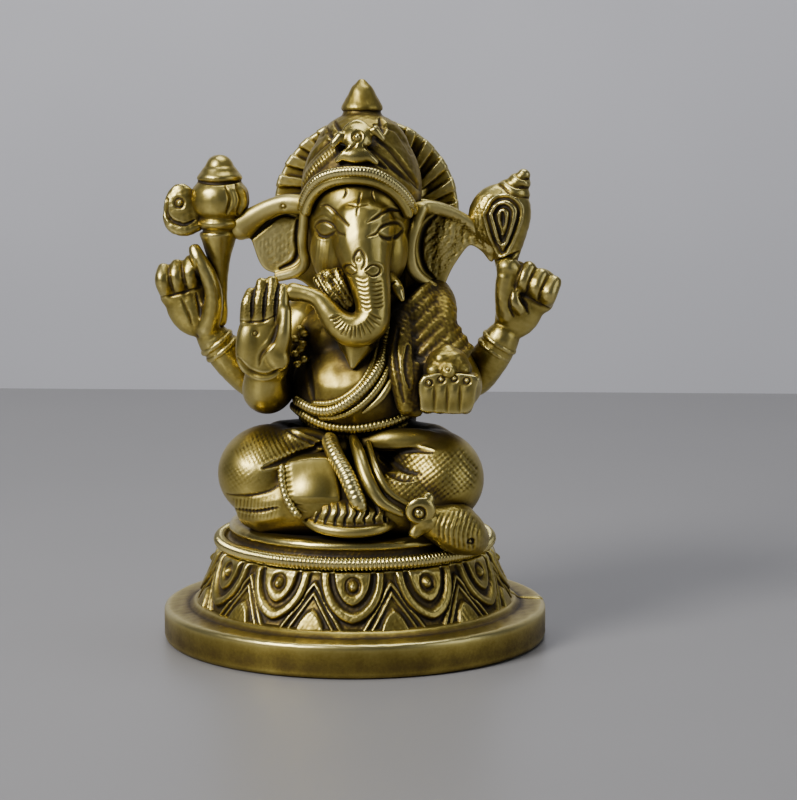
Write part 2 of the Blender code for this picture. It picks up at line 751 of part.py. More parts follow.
def make_mouse(cut_by, skin):
    """The mouse that lies over the rim of the seat, by the left knee."""
    body = fuse(
        "mouse_body", skin,
        limb([(16, -18.6, 24.2), (19.8, -16.6, 22), (22.4, -13.6, 20.2)], (3.6, 4.5, 3.5), 12, 2),
    )
    trim(body, *cut_by)
    head = fuse(
        "mouse_head", skin,
        ellipsoid((13.4, -20, 25.4), (3.2, 2.8, 2.6), tilt=(0, -20, 20)),
        limb([(12.6, -20.6, 25), (10.6, -21.8, 23.8)], (1.9, 1.0), 8),
    )
    trim(head, body, *cut_by)
    ear = fuse("mouse_ear", skin, turned([(2.2, 0), (2.3, 0.5), (1.9, 0.9), (0, 0.9)], 16,
                                         (13.3, -22.1, 27.2), (68, 0, 6)))
    trim(ear, head, body, *cut_by)


def main():
    clear_scene()
    bright = brass("bright_brass", (0.62, 0.46, 0.16), 0.28)
    skin = brass("polished_brass", (0.60, 0.45, 0.17), 0.32)
    cloth = brass("chased_brass", (0.52, 0.38, 0.13), 0.4)
    dark = brass("antiqued_brass", (0.42, 0.30, 0.10), 0.45)

    lotus, rope, step_plate, plate_top = make_base(bright, dark)
    torso, right_leg, left_leg, right_shin, fan = make_body(skin, cloth, bright)
    belt, folds, thread = make_sashes(torso, right_leg, left_leg, right_shin, fan, cloth, bright)
    halo = make_halo(torso, bright)
    head_parts = make_head(torso, halo, skin)
    head, trunk, right_tusk, left_tusk, lip = head_parts
    trim(thread, head, trunk, left_tusk, lip)
    dome, band = make_crown(head, halo, bright, dark)
    right_ear, left_ear = make_ears((torso, head, dome, band, halo, trunk, right_tusk, left_tusk), skin)
    arms = make_arms(torso, right_leg, left_leg, (*head_parts, right_ear, left_ear, thread, belt),
                     skin, bright)
    front_right, front_left, rear_right, rear_left, right_cuff, left_cuff, armlet = arms
    make_blessing_hand(
        front_right, (trunk, torso, right_leg, armlet, rear_right, right_tusk, head, right_ear), skin
    )
    offering, heap = make_offering_hand(
        front_left, (torso, left_leg, thread, belt, rear_left, *folds), skin, bright
    )
    make_axe_hand(rear_right, right_cuff, right_ear, skin, bright)
    make_conch_hand(rear_left, left_cuff, left_ear, skin, bright)
    make_shawl(
        (torso, head, trunk, left_tusk, lip, left_ear, halo, dome, band, front_left, rear_left,
         thread, belt, offering, heap, left_leg),
        cloth,
    )
    make_mouse(
        (lotus, rope, step_plate, plate_top, left_leg, right_leg, fan, *folds), skin
    )
    drop_cutters()


main()
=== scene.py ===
"""Looks of the seated elephant-headed deity in cast brass: chased detail, patina, floor and light.

Shapes are made in millimetres in the row frame, where the deity faces -Y and +Z is up, and piece()
turns them into metres. A point is (x, y, z). In a chased line or an outline, which is drawn on the
front of a form, it is (x, z).
"""

import math

import bmesh
import bpy
import numpy as np
from mathutils import Euler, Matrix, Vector
from mathutils.bvhtree import BVHTree


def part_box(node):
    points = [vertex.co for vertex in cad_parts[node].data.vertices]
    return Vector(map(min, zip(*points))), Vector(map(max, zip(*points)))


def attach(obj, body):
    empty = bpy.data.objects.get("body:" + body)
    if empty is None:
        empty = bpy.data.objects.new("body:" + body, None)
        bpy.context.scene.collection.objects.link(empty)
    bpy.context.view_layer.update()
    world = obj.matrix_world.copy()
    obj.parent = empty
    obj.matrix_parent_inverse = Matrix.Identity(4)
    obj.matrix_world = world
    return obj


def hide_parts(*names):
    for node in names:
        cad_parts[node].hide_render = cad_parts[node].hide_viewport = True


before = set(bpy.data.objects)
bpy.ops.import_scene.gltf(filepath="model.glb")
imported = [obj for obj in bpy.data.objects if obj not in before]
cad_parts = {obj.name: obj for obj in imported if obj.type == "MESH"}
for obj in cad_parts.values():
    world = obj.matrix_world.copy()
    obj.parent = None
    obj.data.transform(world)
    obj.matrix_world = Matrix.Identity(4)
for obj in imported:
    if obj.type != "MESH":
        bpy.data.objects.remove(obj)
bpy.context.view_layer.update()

MM = 0.001
# Voxel sizes of the skins: the face and small jewels, the hands and cloth, and the large forms.
FACE_GRID = 0.2
FINE_GRID = 0.24
BODY_GRID = 0.32

FRONT = np.array([0.0, -1.0, 0.0])


# ---- Curves and solid shapes ----------------------------------------------------------------


def smooth(points, steps=6):
    """Points on a Catmull-Rom curve through the given points."""
    rows = np.array(points, float)
    ends = np.vstack([2 * rows[0] - rows[1], rows, 2 * rows[-1] - rows[-2]])
    t = np.arange(steps)[:, None] / steps
    parts = [
        0.5 * (2 * b + (c - a) * t + (2 * a - 5 * b + 4 * c - d) * t**2)
        + 0.5 * (3 * b - a - 3 * c + d) * t**3
        for a, b, c, d in zip(ends, ends[1:], ends[2:], ends[3:])
    ]
    return np.vstack([*parts, rows[-1:]])


def evenly(line, gap):
    """The same line with points a fixed distance apart."""
    length = np.r_[0, np.cumsum(np.linalg.norm(np.diff(line, axis=0), axis=1))]
    at = np.linspace(0, length[-1], max(2, int(length[-1] / gap) + 1))
    return np.stack([np.interp(at, length, line[:, i]) for i in range(line.shape[1])], 1), at


def ball(centre, radii, tilt=(0, 0, 0), detail=4):
    """An ellipsoid as (points, faces). tilt is in degrees about X, Y and Z."""
    bm = bmesh.new()
    bmesh.ops.create_icosphere(bm, subdivisions=detail, radius=1)
    verts = np.array([v.co for v in bm.verts]) * np.array(radii)
    faces = [[v.index for v in f.verts] for f in bm.faces]
    bm.free()
    turn = np.array(Euler([math.radians(a) for a in tilt]).to_matrix())
    return verts @ turn.T + np.array(centre), faces


def walls(count, sides):
    """Faces between count rings of sides points each."""
    return [
        [r * sides + i, r * sides + (i + 1) % sides, (r + 1) * sides + (i + 1) % sides,
         (r + 1) * sides + i]
        for r in range(count - 1)
        for i in range(sides)
    ]


def capped(rings):
    """Rings of points joined into a closed tube, as (points, faces)."""
    count, sides = len(rings), len(rings[0])
    ends = [list(range(sides))[::-1], [(count - 1) * sides + i for i in range(sides)]]
    return np.vstack(rings), walls(count, sides) + ends


def sweep(line, radii, sides=16, flat=1.0, wide=None):
    """A tube along a line as (points, faces), with a radius for each point and round ends.

    flat squeezes the section at right angles to the wide direction.
    """
    ahead = np.gradient(line, axis=0)
    ahead /= np.linalg.norm(ahead, axis=1)[:, None]
    side = np.array(wide if wide is not None else np.cross(ahead[0], [0.31, 0.87, 0.39]), float)
    rings = []
    angles = np.arange(sides) * math.tau / sides
    for point, direction, radius in zip(line, ahead, radii):
        across = side - direction * (side @ direction)
        across /= np.linalg.norm(across)
        if wide is None:
            side = across
        up = np.cross(direction, across) * flat
        rings.append(
            point + (np.outer(np.cos(angles), across) + np.outer(np.sin(angles), up)) * radius
        )
    for share in (0.8, 0.35):
        reach = math.sqrt(1 - share**2)
        first = line[0] - ahead[0] * radii[0] * reach
        last = line[-1] + ahead[-1] * radii[-1] * reach
        rings.insert(0, first + (rings[round(1 / share) - 1] - line[0]) * share)
        rings.append(last + (rings[-round(1 / share)] - line[-1]) * share)
    return capped(rings)


def limb(points, radii, sides=28, flat=1.0, wide=None):
    """A tapering tube through points, with round ends."""
    line = smooth(points)
    widths = smooth([[r] for r in radii])[:, 0]
    return sweep(line, widths, sides, flat, wide)


def low(node):
    return np.array(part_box(node)[0]) / MM


def high(node):
    return np.array(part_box(node)[1]) / MM


def middle(node):
    return (low(node) + high(node)) / 2


# ---- Fine meshes that are pressed and chased ------------------------------------------------


class Form:
    """A dense mesh whose surface is pushed in and out along its normals."""

    def __init__(self, verts, faces):
        self.v = np.asarray(verts, float)
        self.f = np.asarray(faces, int)
        a, b, c, d = (self.v[self.f[:, i]] - self.v.mean(0) for i in range(4))
        if (a * (np.cross(b, c) + np.cross(c, d))).sum() < 0:
            self.f = self.f[:, ::-1]
        loops = [self.f[:, [i, (i + 1) % self.f.shape[1]]] for i in range(self.f.shape[1])]
        edges = np.sort(np.vstack(loops), axis=1)
        self.e = np.unique(edges, axis=0)
        self.degree = np.bincount(self.e.ravel(), minlength=len(self.v)).clip(1)
        # An offset added to the relief: wear on most pieces, painted shade on the belly.
        self.wear_and_shade = 0.0

    def normals(self):
        a, b, c, d = (self.v[self.f[:, i]] for i in range(4))
        face = np.cross(c - a, d - b)
        out = np.zeros_like(self.v)
        for i in range(self.f.shape[1]):
            for axis in range(3):
                out[:, axis] += np.bincount(self.f[:, i], face[:, axis], len(self.v))
        return out / np.linalg.norm(out, axis=1).clip(1e-12)[:, None]

    def blurred(self, times, strength=0.6):
        v = self.v.copy()
        i, j = self.e.T
        for _ in range(times):
            mean = np.stack(
                [
                    np.bincount(i, v[j, k], len(v)) + np.bincount(j, v[i, k], len(v))
                    for k in range(3)
                ],
                1,
            ) / self.degree[:, None]
            v += (mean - v) * strength
        return v

    def relax(self, times):
        self.v = self.blurred(times)

    def push(self, amount):
        self.v = self.v + self.normals() * np.asarray(amount)[:, None]

    def relief(self):
        """How far each point stands proud (+) or sunk (-) of the surface round it, in mm, plus the form's
        added wear and painted shade.
        """
        n = self.normals()
        near = ((self.v - self.blurred(5)) * n).sum(1)
        wide = ((self.v - self.blurred(40)) * n).sum(1)
        return near * 2.4 + wide * 0.8 + self.wear_and_shade


def melt(grid, rounds, *shapes):
    """Joins overlapping shapes into one even skin and softens the seams."""
    bm = bmesh.new()
    for verts, faces in shapes:
        made = [bm.verts.new(p) for p in verts]
        for face in faces:
            bm.faces.new([made[i] for i in face])
    bmesh.ops.recalc_face_normals(bm, faces=bm.faces)
    mesh = bpy.data.meshes.new("clay")
    bm.to_mesh(mesh)
    bm.free()
    obj = bpy.data.objects.new("clay", mesh)
    bpy.context.scene.collection.objects.link(obj)
    modifier = obj.modifiers.new("remesh", "REMESH")
    modifier.mode = "VOXEL"
    modifier.voxel_size = grid
    graph = bpy.context.evaluated_depsgraph_get()
    skin = bpy.data.meshes.new_from_object(obj.evaluated_get(graph))
    verts = np.empty(len(skin.vertices) * 3)
    skin.vertices.foreach_get("co", verts)
    faces = np.empty(len(skin.polygons) * 4, int)
    skin.polygons.foreach_get("vertices", faces)
    bpy.data.objects.remove(obj)
    bpy.data.meshes.remove(mesh)
    bpy.data.meshes.remove(skin)
    form = Form(verts.reshape(-1, 3), faces.reshape(-1, 4))
    form.relax(rounds)
    return form


def piece(form, name, nodes, material):
    """Makes the object, notes its relief, with its wear and painted shade, for the patina, and puts it in
    the place of CAD nodes.
    """
    mesh = bpy.data.meshes.new(name)
    mesh.vertices.add(len(form.v))
    mesh.vertices.foreach_set("co", (form.v * MM).ravel())
    sides = form.f.shape[1]
    mesh.loops.add(form.f.size)
    mesh.loops.foreach_set("vertex_index", form.f.ravel().astype(np.int32))
    mesh.polygons.add(len(form.f))
    mesh.polygons.foreach_set("loop_start", np.arange(0, form.f.size, sides, dtype=np.int32))
    mesh.update(calc_edges=True)
    mesh.validate()
    mesh.polygons.foreach_set("use_smooth", np.ones(len(mesh.polygons), bool))
    relief = mesh.attributes.new("relief", "FLOAT", "POINT")
    relief.data.foreach_set("value", form.relief().astype(np.float32))
    mesh.materials.append(material)
    obj = bpy.data.objects.new(name, mesh)
    bpy.context.scene.collection.objects.link(obj)
    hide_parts(*nodes)
    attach(obj, "root")
    return obj


# ---- Chasing tools --------------------------------------------------------------------------


def along(form, line):
    """Each point's distance from a line, as seen from the front, and its place on it, 0 to 1.

    Points much further away than a stroke is wide are given one large distance.
    """
    far, reach = 1e9, 4.0
    pts = form.v[:, [0, 2]]
    line = np.asarray(line, float)
    best = np.full(len(pts), far)
    place = np.zeros(len(pts))
    step = np.r_[0, np.cumsum(np.linalg.norm(np.diff(line, axis=0), axis=1))]
    near = np.all((pts > line.min(0) - reach) & (pts < line.max(0) + reach), axis=1)
    at = np.where(near)[0]
    cut = pts[at]
    for k in range(len(line) - 1):
        ab = line[k + 1] - line[k]
        t = (((cut - line[k]) @ ab) / (ab @ ab)).clip(0, 1)
        gap = np.linalg.norm(cut - line[k] - t[:, None] * ab, axis=1)
        better = gap < best[at]
        best[at[better]] = gap[better]
        place[at[better]] = (step[k] + t[better] * (step[k + 1] - step[k])) / step[-1]
    return best, place


def faces_front(form, edge=0.15):
    """1 where the surface faces the front, falling to 0 where it turns away."""
    return ((form.normals() @ FRONT - edge) * 4).clip(0, 1)


def chisel(form, marks, width, depth, lip=0.25):
    """Cuts tapering strokes, seen from the front, and raises a small burr on both sides."""
    mask = faces_front(form, edge=0.1)
    total = np.zeros(len(form.v))
    for mark in marks:
        line = smooth(mark)
        gap, place = along(form, line)
        swell = 0.45 + 0.55 * np.sin(math.pi * place.clip(0.02, 0.98)) ** 0.7
        q = gap / (width * 0.5 * swell)
        total = np.minimum(total, -depth * swell * np.exp(-(q**2)))
        total += lip * depth * np.exp(-(((q - 1.9) / 0.6) ** 2))
    form.push(total * mask)


def ring_mark(form, x, z, radius, width=0.35, depth=0.25, dot=0.2):
    """A punched ring with a raised dot in the middle."""
    gap = np.hypot(form.v[:, 0] - x, form.v[:, 2] - z)
    mask = faces_front(form)
    cut = -depth * np.exp(-(((gap - radius) / (width * 0.5)) ** 2))
    form.push((cut + dot * np.exp(-((gap / (radius * 0.45)) ** 2))) * mask)


def hatch(form, where, pitch, angle, depth, sharp=2.0, wave=0.0):
    """Parallel chased lines over part of a form. angle is in degrees from +X, in the XZ plane."""
    a = math.radians(angle)
    s = form.v[:, 0] * -math.sin(a) + form.v[:, 2] * math.cos(a)
    t = form.v[:, 0] * math.cos(a) + form.v[:, 2] * math.sin(a)
    s = s + wave * np.sin(t * 0.9)
    cut = -depth * (0.5 + 0.5 * np.cos(math.tau * s / pitch)) ** sharp
    form.push(cut * where)


def patch(form, x, z, rx, rz, tilt=0.0, soft=0.25):
    """1 inside an ellipse seen from the front, falling to 0 at its edge."""
    a = math.radians(tilt)
    dx, dz = form.v[:, 0] - x, form.v[:, 2] - z
    u = (dx * math.cos(a) + dz * math.sin(a)) / rx
    w = (-dx * math.sin(a) + dz * math.cos(a)) / rz
    inside = ((1 - np.hypot(u, w)) / soft).clip(0, 1)
    return inside * faces_front(form)


def speckle(form, size, seed=0):
    """Even random bumps between -1 and 1, about size mm across."""
    p = form.v / size
    rng = np.random.default_rng(seed)
    waves = rng.normal(size=(14, 3)) * 1.6
    shift = rng.uniform(0, math.tau, 14)
    return np.cos(p @ waves.T * math.pi + shift).sum(1) / 3.8


def rope(line, radius, pitch, depth):
    """A cord with a groove round it at every pitch and thinner ends, as a Form."""
    sides = 18
    line, at = evenly(np.asarray(line, float), pitch / 6)
    ahead = np.gradient(line, axis=0)
    ahead /= np.linalg.norm(ahead, axis=1)[:, None]
    side = np.cross(ahead[0], [0.31, 0.87, 0.39])
    angles = np.arange(sides) * math.tau / sides
    to_end = np.minimum(at, at[-1] - at)
    thick = radius * np.sqrt((to_end / (radius * 1.5) + 0.12).clip(0, 1))
    groove = np.abs(np.sin(math.pi * at / pitch)) ** 0.6
    thick = thick * (1 - depth * 2 * (1 - groove))
    rings = []
    for point, direction, r in zip(line, ahead, thick):
        side = side - direction * (side @ direction)
        side /= np.linalg.norm(side)
        up = np.cross(direction, side)
        rings.append(point + r * (np.outer(np.cos(angles), side) + np.outer(np.sin(angles), up)))
    return Form(np.vstack(rings), walls(len(rings), sides))


def skin_of(form):
    """A surface to lay cords on."""
    return BVHTree.FromPolygons(form.v.tolist(), form.f.tolist())


def laid(points, skin, lift):
    """A line drawn in the XZ plane and laid on the front of a surface, lift above it."""
    start = -80
    out = []
    for x, z in smooth(points, 8):
        place, normal, _, _ = skin.ray_cast(Vector((x, start, z)), Vector((0, 1, 0)))
        if place is not None:
            out.append(np.array(place) + np.array(normal) * lift)
    out = np.array(out)
    for _ in range(6):
        out[1:-1] = (out[:-2] + 2 * out[1:-1] + out[2:]) / 4
    return out


def area(form, outline, soft=0.5):
    """1 inside an outline seen from the front, falling to 0 at its edge."""
    ring = np.array([*outline, outline[0]], float)
    x, z = form.v[:, 0], form.v[:, 2]
    inside = np.zeros(len(x), bool)
    for (xa, za), (xb, zb) in zip(ring, ring[1:]):
        if za != zb:
            crosses = (za > z) != (zb > z)
            inside ^= crosses & (x < xa + (z - za) * (xb - xa) / (zb - za))
    gap, _ = along(form, ring)
    return inside * (gap / soft).clip(0, 1) * faces_front(form)


def grid_form(points, wrap=True):
    """A Form from rows of points. Every row is a closed loop, and wrap joins last row to first."""
    rows, sides = points.shape[:2]
    last = rows if wrap else rows - 1
    r, i = np.meshgrid(np.arange(last), np.arange(sides), indexing="ij")
    s, j = (r + 1) % rows, (i + 1) % sides
    faces = np.stack([r * sides + i, r * sides + j, s * sides + j, s * sides + i], -1)
    return Form(points.reshape(-1, 3), faces.reshape(-1, 4))


def turned_grid(radius, height, steps):
    """Rows of points round +Z, one row for each radius and height."""
    angles = np.arange(steps) * math.tau / steps
    radius, height = radius[:, None], height[:, None]
    return np.stack([radius * np.cos(angles), radius * np.sin(angles), height + 0 * angles], -1)


def lathe(profile, gap, steps):
    """A solid of revolution about +Z from a closed outline of (radius, height) points."""
    line, _ = evenly(np.array([*profile, profile[0]], float), gap)
    return grid_form(turned_grid(line[:-1, 0], line[:-1, 1], steps))


def turned(profile, centre):
    """A closed turned shape as (points, faces) for melt. profile ends on the axis at both ends."""
    line = smooth(profile, 4)[1:-1]
    return capped(list(turned_grid(line[:, 0].clip(0.02), line[:, 1], 64) + np.array(centre)))


def plate(outline, front, back):
    """A flat plate in the XZ plane as (points, faces) for melt."""
    line = smooth([*outline, outline[0]], 4)[:-1]
    count = len(line)
    near = np.stack([line[:, 0], np.full(count, front), line[:, 1]], 1)
    far = near + np.array([0, back - front, 0])
    faces = [list(range(count)), [count + i for i in range(count)][::-1]]
    faces += [[i, (i + 1) % count, count + (i + 1) % count, count + i] for i in range(count)]
    return np.vstack([near, far]), faces


# ---- Brass ----------------------------------------------------------------------------------


class Nodes:
    """Short calls for building one material's node tree."""

    def __init__(self, name):
        self.material = bpy.data.materials.new(name)
        self.material.use_nodes = True
        self.tree = self.material.node_tree
        self.shader = self.tree.nodes["Principled BSDF"]

    def add(self, kind, **settings):
        node = self.tree.nodes.new(kind)
        for key, value in settings.items():
            setattr(node, key, value)
        return node

    def join(self, output, socket):
        self.tree.links.new(output, socket)

    def math(self, operation, first, second):
        node = self.add("ShaderNodeMath", operation=operation)
        for socket, value in zip(node.inputs, (first, second)):
            if isinstance(value, (int, float)):
                socket.default_value = value
            else:
                self.join(value, socket)
        return node.outputs[0]

    def noise(self, coords, scale, detail=3.0):
        node = self.add("ShaderNodeTexNoise")
        node.inputs["Scale"].default_value = scale
        node.inputs["Detail"].default_value = detail
        self.join(coords, node.inputs["Vector"])
        return node.outputs["Fac"]

    def stretched(self, coords, scale):
        node = self.add("ShaderNodeMapping")
        node.inputs["Scale"].default_value = scale
        self.join(coords, node.inputs["Vector"])
        return node.outputs["Vector"]

    def ramp(self, value, stops):
        node = self.add("ShaderNodeValToRGB")
        points = node.color_ramp.elements
        while len(points) < len(stops):
            points.new(0.5)
        for point, (place, color) in zip(points, stops):
            point.position = place
            point.color = (*color, 1.0) if isinstance(color, tuple) else (color,) * 3 + (1.0,)
        self.join(value, node.inputs["Fac"])
        return node.outputs["Color"]


PATINA = (0.022, 0.015, 0.006)
BROWN = (0.105, 0.068, 0.014)
OLD_GOLD = (0.330, 0.250, 0.052)
GOLD = (0.560, 0.455, 0.130)
RUBBED = (0.740, 0.635, 0.255)


def brass(name, rough, age, scratches=(1, 1, 1)):
    """Cast brass: dark patina in the sunk places, painted shade from ambient occlusion where other parts
    come close, rubbed bright on the raised ones, softly uneven.

    age moves the whole surface towards the dark patina. scratches stretches the fine file marks.
    """
    n = Nodes(name)
    coords = n.add("ShaderNodeTexCoord").outputs["Object"]
    relief = n.add("ShaderNodeAttribute", attribute_name="relief").outputs["Fac"]
    # Painted shade: ambient occlusion darkens the colour in hollows and between parts, on top of the
    # patina there.
    occlusion_shade = n.add("ShaderNodeAmbientOcclusion", samples=8)
    occlusion_shade.inputs["Distance"].default_value = 7 * MM
    shade = n.math("SUBTRACT", 1.0, occlusion_shade.outputs["AO"])
    blotch = n.math("MULTIPLY", n.math("SUBTRACT", n.noise(coords, 230), 0.5), 0.42)
    fleck = n.math("MULTIPLY", n.math("SUBTRACT", n.noise(coords, 1900, 4.0), 0.5), 0.22)
    level = n.math("SUBTRACT", n.math("ADD", relief, n.math("ADD", blotch, fleck)), shade)
    level = n.math("ADD", n.math("MULTIPLY", level, 0.8), 0.62 - age)
    color = n.ramp(
        level, [(0.0, PATINA), (0.22, BROWN), (0.42, OLD_GOLD), (0.66, GOLD), (0.95, RUBBED)]
    )
    n.join(color, n.shader.inputs["Base Color"])
    metal = n.ramp(level, [(0.0, 0.35), (0.25, 0.85), (0.4, 1.0)])
    n.join(metal, n.shader.inputs["Metallic"])
    gloss = n.ramp(level, [(0.0, 0.62), (0.35, rough + 0.08), (0.75, rough), (1.0, rough - 0.05)])
    n.join(gloss, n.shader.inputs["Roughness"])
    marks = n.noise(n.stretched(coords, scratches), 1500, 5.0)
    pits = n.noise(coords, 5200, 3.0)
    height = n.math("ADD", n.math("MULTIPLY", marks, 0.7), n.math("MULTIPLY", pits, 0.3))
    bump = n.add("ShaderNodeBump")
    bump.inputs["Strength"].default_value = 0.22
    bump.inputs["Distance"].default_value = 0.12 * MM
    n.join(height, bump.inputs["Height"])
    n.join(bump.outputs["Normal"], n.shader.inputs["Normal"])
    return n.material


SKIN = brass("polished_brass", 0.31, 0.03, (1, 1, 0.25))
CLOTH = brass("chased_brass", 0.34, 0.10)
TRIM = brass("bright_brass", 0.26, 0.00)
AGED = brass("antiqued_brass", 0.34, 0.20)
FILED = brass("filed_brass", 0.42, -0.12)
TURNED = brass("turned_brass", 0.34, 0.14, (0.15, 0.15, 1.4))


# ---- Base -----------------------------------------------------------------------------------

PETALS = 12
FIRST_PETAL = math.radians(-90 + 3)
ROPE_TICKS = 219


def base_plate():
    radius, top = high("base_plate")[0], high("base_plate")[2]
    hollow = 21.0
    foot = high("lotus_pedestal")[0]
    outline = [
        (hollow, 0.1), (radius - 0.9, 0.0), (radius - 0.25, 0.25), (radius, 0.8),
        (radius, top - 0.75), (radius - 0.2, top - 0.25), (radius - 0.7, top),
        (foot + 1.2, top + 0.02), (foot + 0.7, top + 0.3), (foot + 0.1, top + 0.9),
        (foot - 1.2, top + 1.2), (hollow, top),
    ]
    form = lathe(outline, 0.34, 540)
    angle = np.arctan2(form.v[:, 1], form.v[:, 0])
    wide = np.hypot(form.v[:, 0], form.v[:, 1])
    on_top = (form.v[:, 2] > top - 0.5) & (wide > foot - 0.5)
    off_seam = (angle - math.radians(6)) * wide
    form.v[:, 2] -= on_top * 0.35 * np.exp(-((off_seam / 0.4) ** 2))
    form.v[:, 2] += on_top * 0.2 * np.exp(-(((off_seam - 1.0) / 0.5) ** 2))
    form.v[:, 2] += on_top * 0.03 * speckle(form, 5.0, 3)
    piece(form, "turned_base_plate", ["base_plate"], TURNED)


def lotus_height(s, t):
    """Height of the pedestal's relief. s runs across a petal from -0.5 to 0.5, t from top to foot."""
    leaf = ((np.abs(s) / 0.43) ** 1.6 + (t / 0.82) ** 2.1) ** 0.56
    out = np.full(leaf.shape, -0.45)
    rim = ((1.0 - leaf) / 0.08).clip(0, 1) * ((leaf - 0.74) / 0.07).clip(0, 1)
    heart = ((0.64 - leaf) / 0.08).clip(0, 1)
    ring = np.hypot(s * 1.45, t - 0.22)
    button = np.exp(-((ring / 0.06) ** 2)) - 1.0 * np.exp(-(((ring - 0.12) / 0.04) ** 2))
    out = np.maximum(out, -0.45 + 1.0 * np.sqrt(rim))
    out = np.maximum(out, -0.45 + heart * (1.05 + 0.55 * button - 0.35 * t))
    between = 0.5 - np.abs(s)
    arch = 0.43 * ((t - 0.16) / 0.84).clip(0, 1) ** 0.85 - between
    free = (leaf > 1.03) * (t > 0.16)
    for at, wide, tall in ((0.03, 0.036, 0.80), (0.125, 0.028, 0.65)):
        out = np.maximum(out, -0.45 + free * tall * (1 - np.abs(arch - at) / wide).clip(0, 1) ** 0.5)
    bud = (between / 0.20) ** 1.5 + ((0.97 - t) / 0.42).clip(0) ** 1.6
    inner = free * ((0.85 - bud) / 0.14).clip(0, 1) * (t < 0.97)
    return np.maximum(out, -0.45 + inner * (1.0 - 0.5 * (1 - t)))


def lotus_pedestal():
    foot, top = low("lotus_pedestal")[2] - 0.3, high("lotus_pedestal")[2]
    wide, narrow, hollow = 28.6, 24.4, 21.0
    rows, per_petal = ((64, 112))
    count = PETALS * per_petal
    angle = np.arange(count) * math.tau / count
    s = ((angle - FIRST_PETAL) * PETALS / math.tau + 0.5) % 1 - 0.5
    loops = []
    for share in np.linspace(0, 1, rows):
        t = 1 - share
        fade = min(1.0, 9 * share + 0.1, 9 * t + 0.3)
        swell = narrow + (wide - narrow) * (0.75 * t**1.25 + 0.25 * math.sin(math.pi * t * 0.5))
        radius = swell + lotus_height(s, t) * fade
        loops.append(
            np.stack([radius * np.cos(angle), radius * np.sin(angle),
                      np.full(count, foot + (top - foot) * share)], 1)
        )
    for height in (top, foot):
        loops.append(
            np.stack([hollow * np.cos(angle), hollow * np.sin(angle), np.full(count, height)], 1)
        )
    form = grid_form(np.array(loops))
    form.relax(1)
    form.push(0.02 * speckle(form, 0.9, 5))
    piece(form, "lotus_band", ["lotus_pedestal"], CLOTH)


def pedestal_rope():
    """A closed ring of rope under the plinth."""
    sides, thick = 14, 1.2
    level = middle("pedestal_rope_ring")[2]
    reach = high("pedestal_rope_ring")[0] - 1.0
    steps = ROPE_TICKS * 6
    around = np.arange(steps) * math.tau / steps
    across = np.arange(sides) * math.tau / sides
    a, b = np.meshgrid(around, across, indexing="ij")
    r = thick * (0.78 + 0.24 * np.abs(np.sin(a * ROPE_TICKS / 2)) ** 0.7)
    out = reach + r * np.cos(b)
    form = grid_form(np.stack([out * np.cos(a), out * np.sin(a), level + r * np.sin(b)], -1))
    piece(form, "rope_ring", ["pedestal_rope_ring"], TRIM)


def plinth():
    step, seat = high("plinth_step"), high("seat_plate")
    foot = low("plinth_step")[2]
    edge = seat[0]
    outline = [
        (0.02, foot), (step[0], foot), (step[0] + 0.5, foot + 1.0), (step[0] + 0.1, foot + 1.5),
        (step[0] - 0.6, foot + 1.9), (step[0] - 0.5, step[2]), (edge + 0.35, step[2] + 0.25),
        (edge + 0.75, step[2] + 0.75), (edge + 0.6, step[2] + 1.5), (edge - 0.1, seat[2] - 0.05),
        (edge - 1.0, seat[2] + 0.08), (edge - 3.0, seat[2] - 0.1), (0.02, seat[2] - 0.1),
    ]
    form = lathe(outline, 0.3, 500)
    form.relax(2)
    ledge = np.exp(-(((form.v[:, 2] - step[2] + 0.4) / 0.7) ** 2))
    form.push(0.05 * ledge * speckle(form, 0.7, 8) + 0.02 * speckle(form, 3.0, 9))
    piece(form, "stepped_plinth", ["plinth_step", "seat_plate"], TRIM)


# ---- Body and legs --------------------------------------------------------------------------


def torso():
    form = melt(
        BODY_GRID, 14,
        ball((1, 3, 30), (11.5, 10.5, 12)),
        ball((1, -3.3, 46), (12.4, 12.6, 9.6)),
        ball((1.2, 0.8, 55), (12, 8.6, 8)),
        ball((-3.6, -3.6, 54.0), (6.6, 6.8, 6.4)),
        limb([(9, -3.5, 57.5), (5.5, -6.6, 55)], (4.2, 3.6)),
        limb([(1, 4.0, 34), (1.1, 2.6, 46), (1.2, 1.4, 57)], (9.6, 10.2, 8.8)),
    )
    chisel(form, [[(-7.2, 50.8), (-6.9, 47.6), (-6.2, 44.4)]], 0.8, 0.25)
    form.push(-0.5 * patch(form, -1.2, 50.6, 5.4, 3.4, 20, 0.9))
    form.push(0.03 * speckle(form, 3.4, 11))
    # Painted shade with patina: the belly's colour is made darker towards both sides, where it turns away
    # from the light.
    sides = ((form.v[:, 0] - 2) / 5).clip(0, 1) + ((-3 - form.v[:, 0]) / 4).clip(0, 1)
    form.wear_and_shade = -0.22 * sides
    piece(form, "belly_and_chest", ["torso"], AGED)
    return form


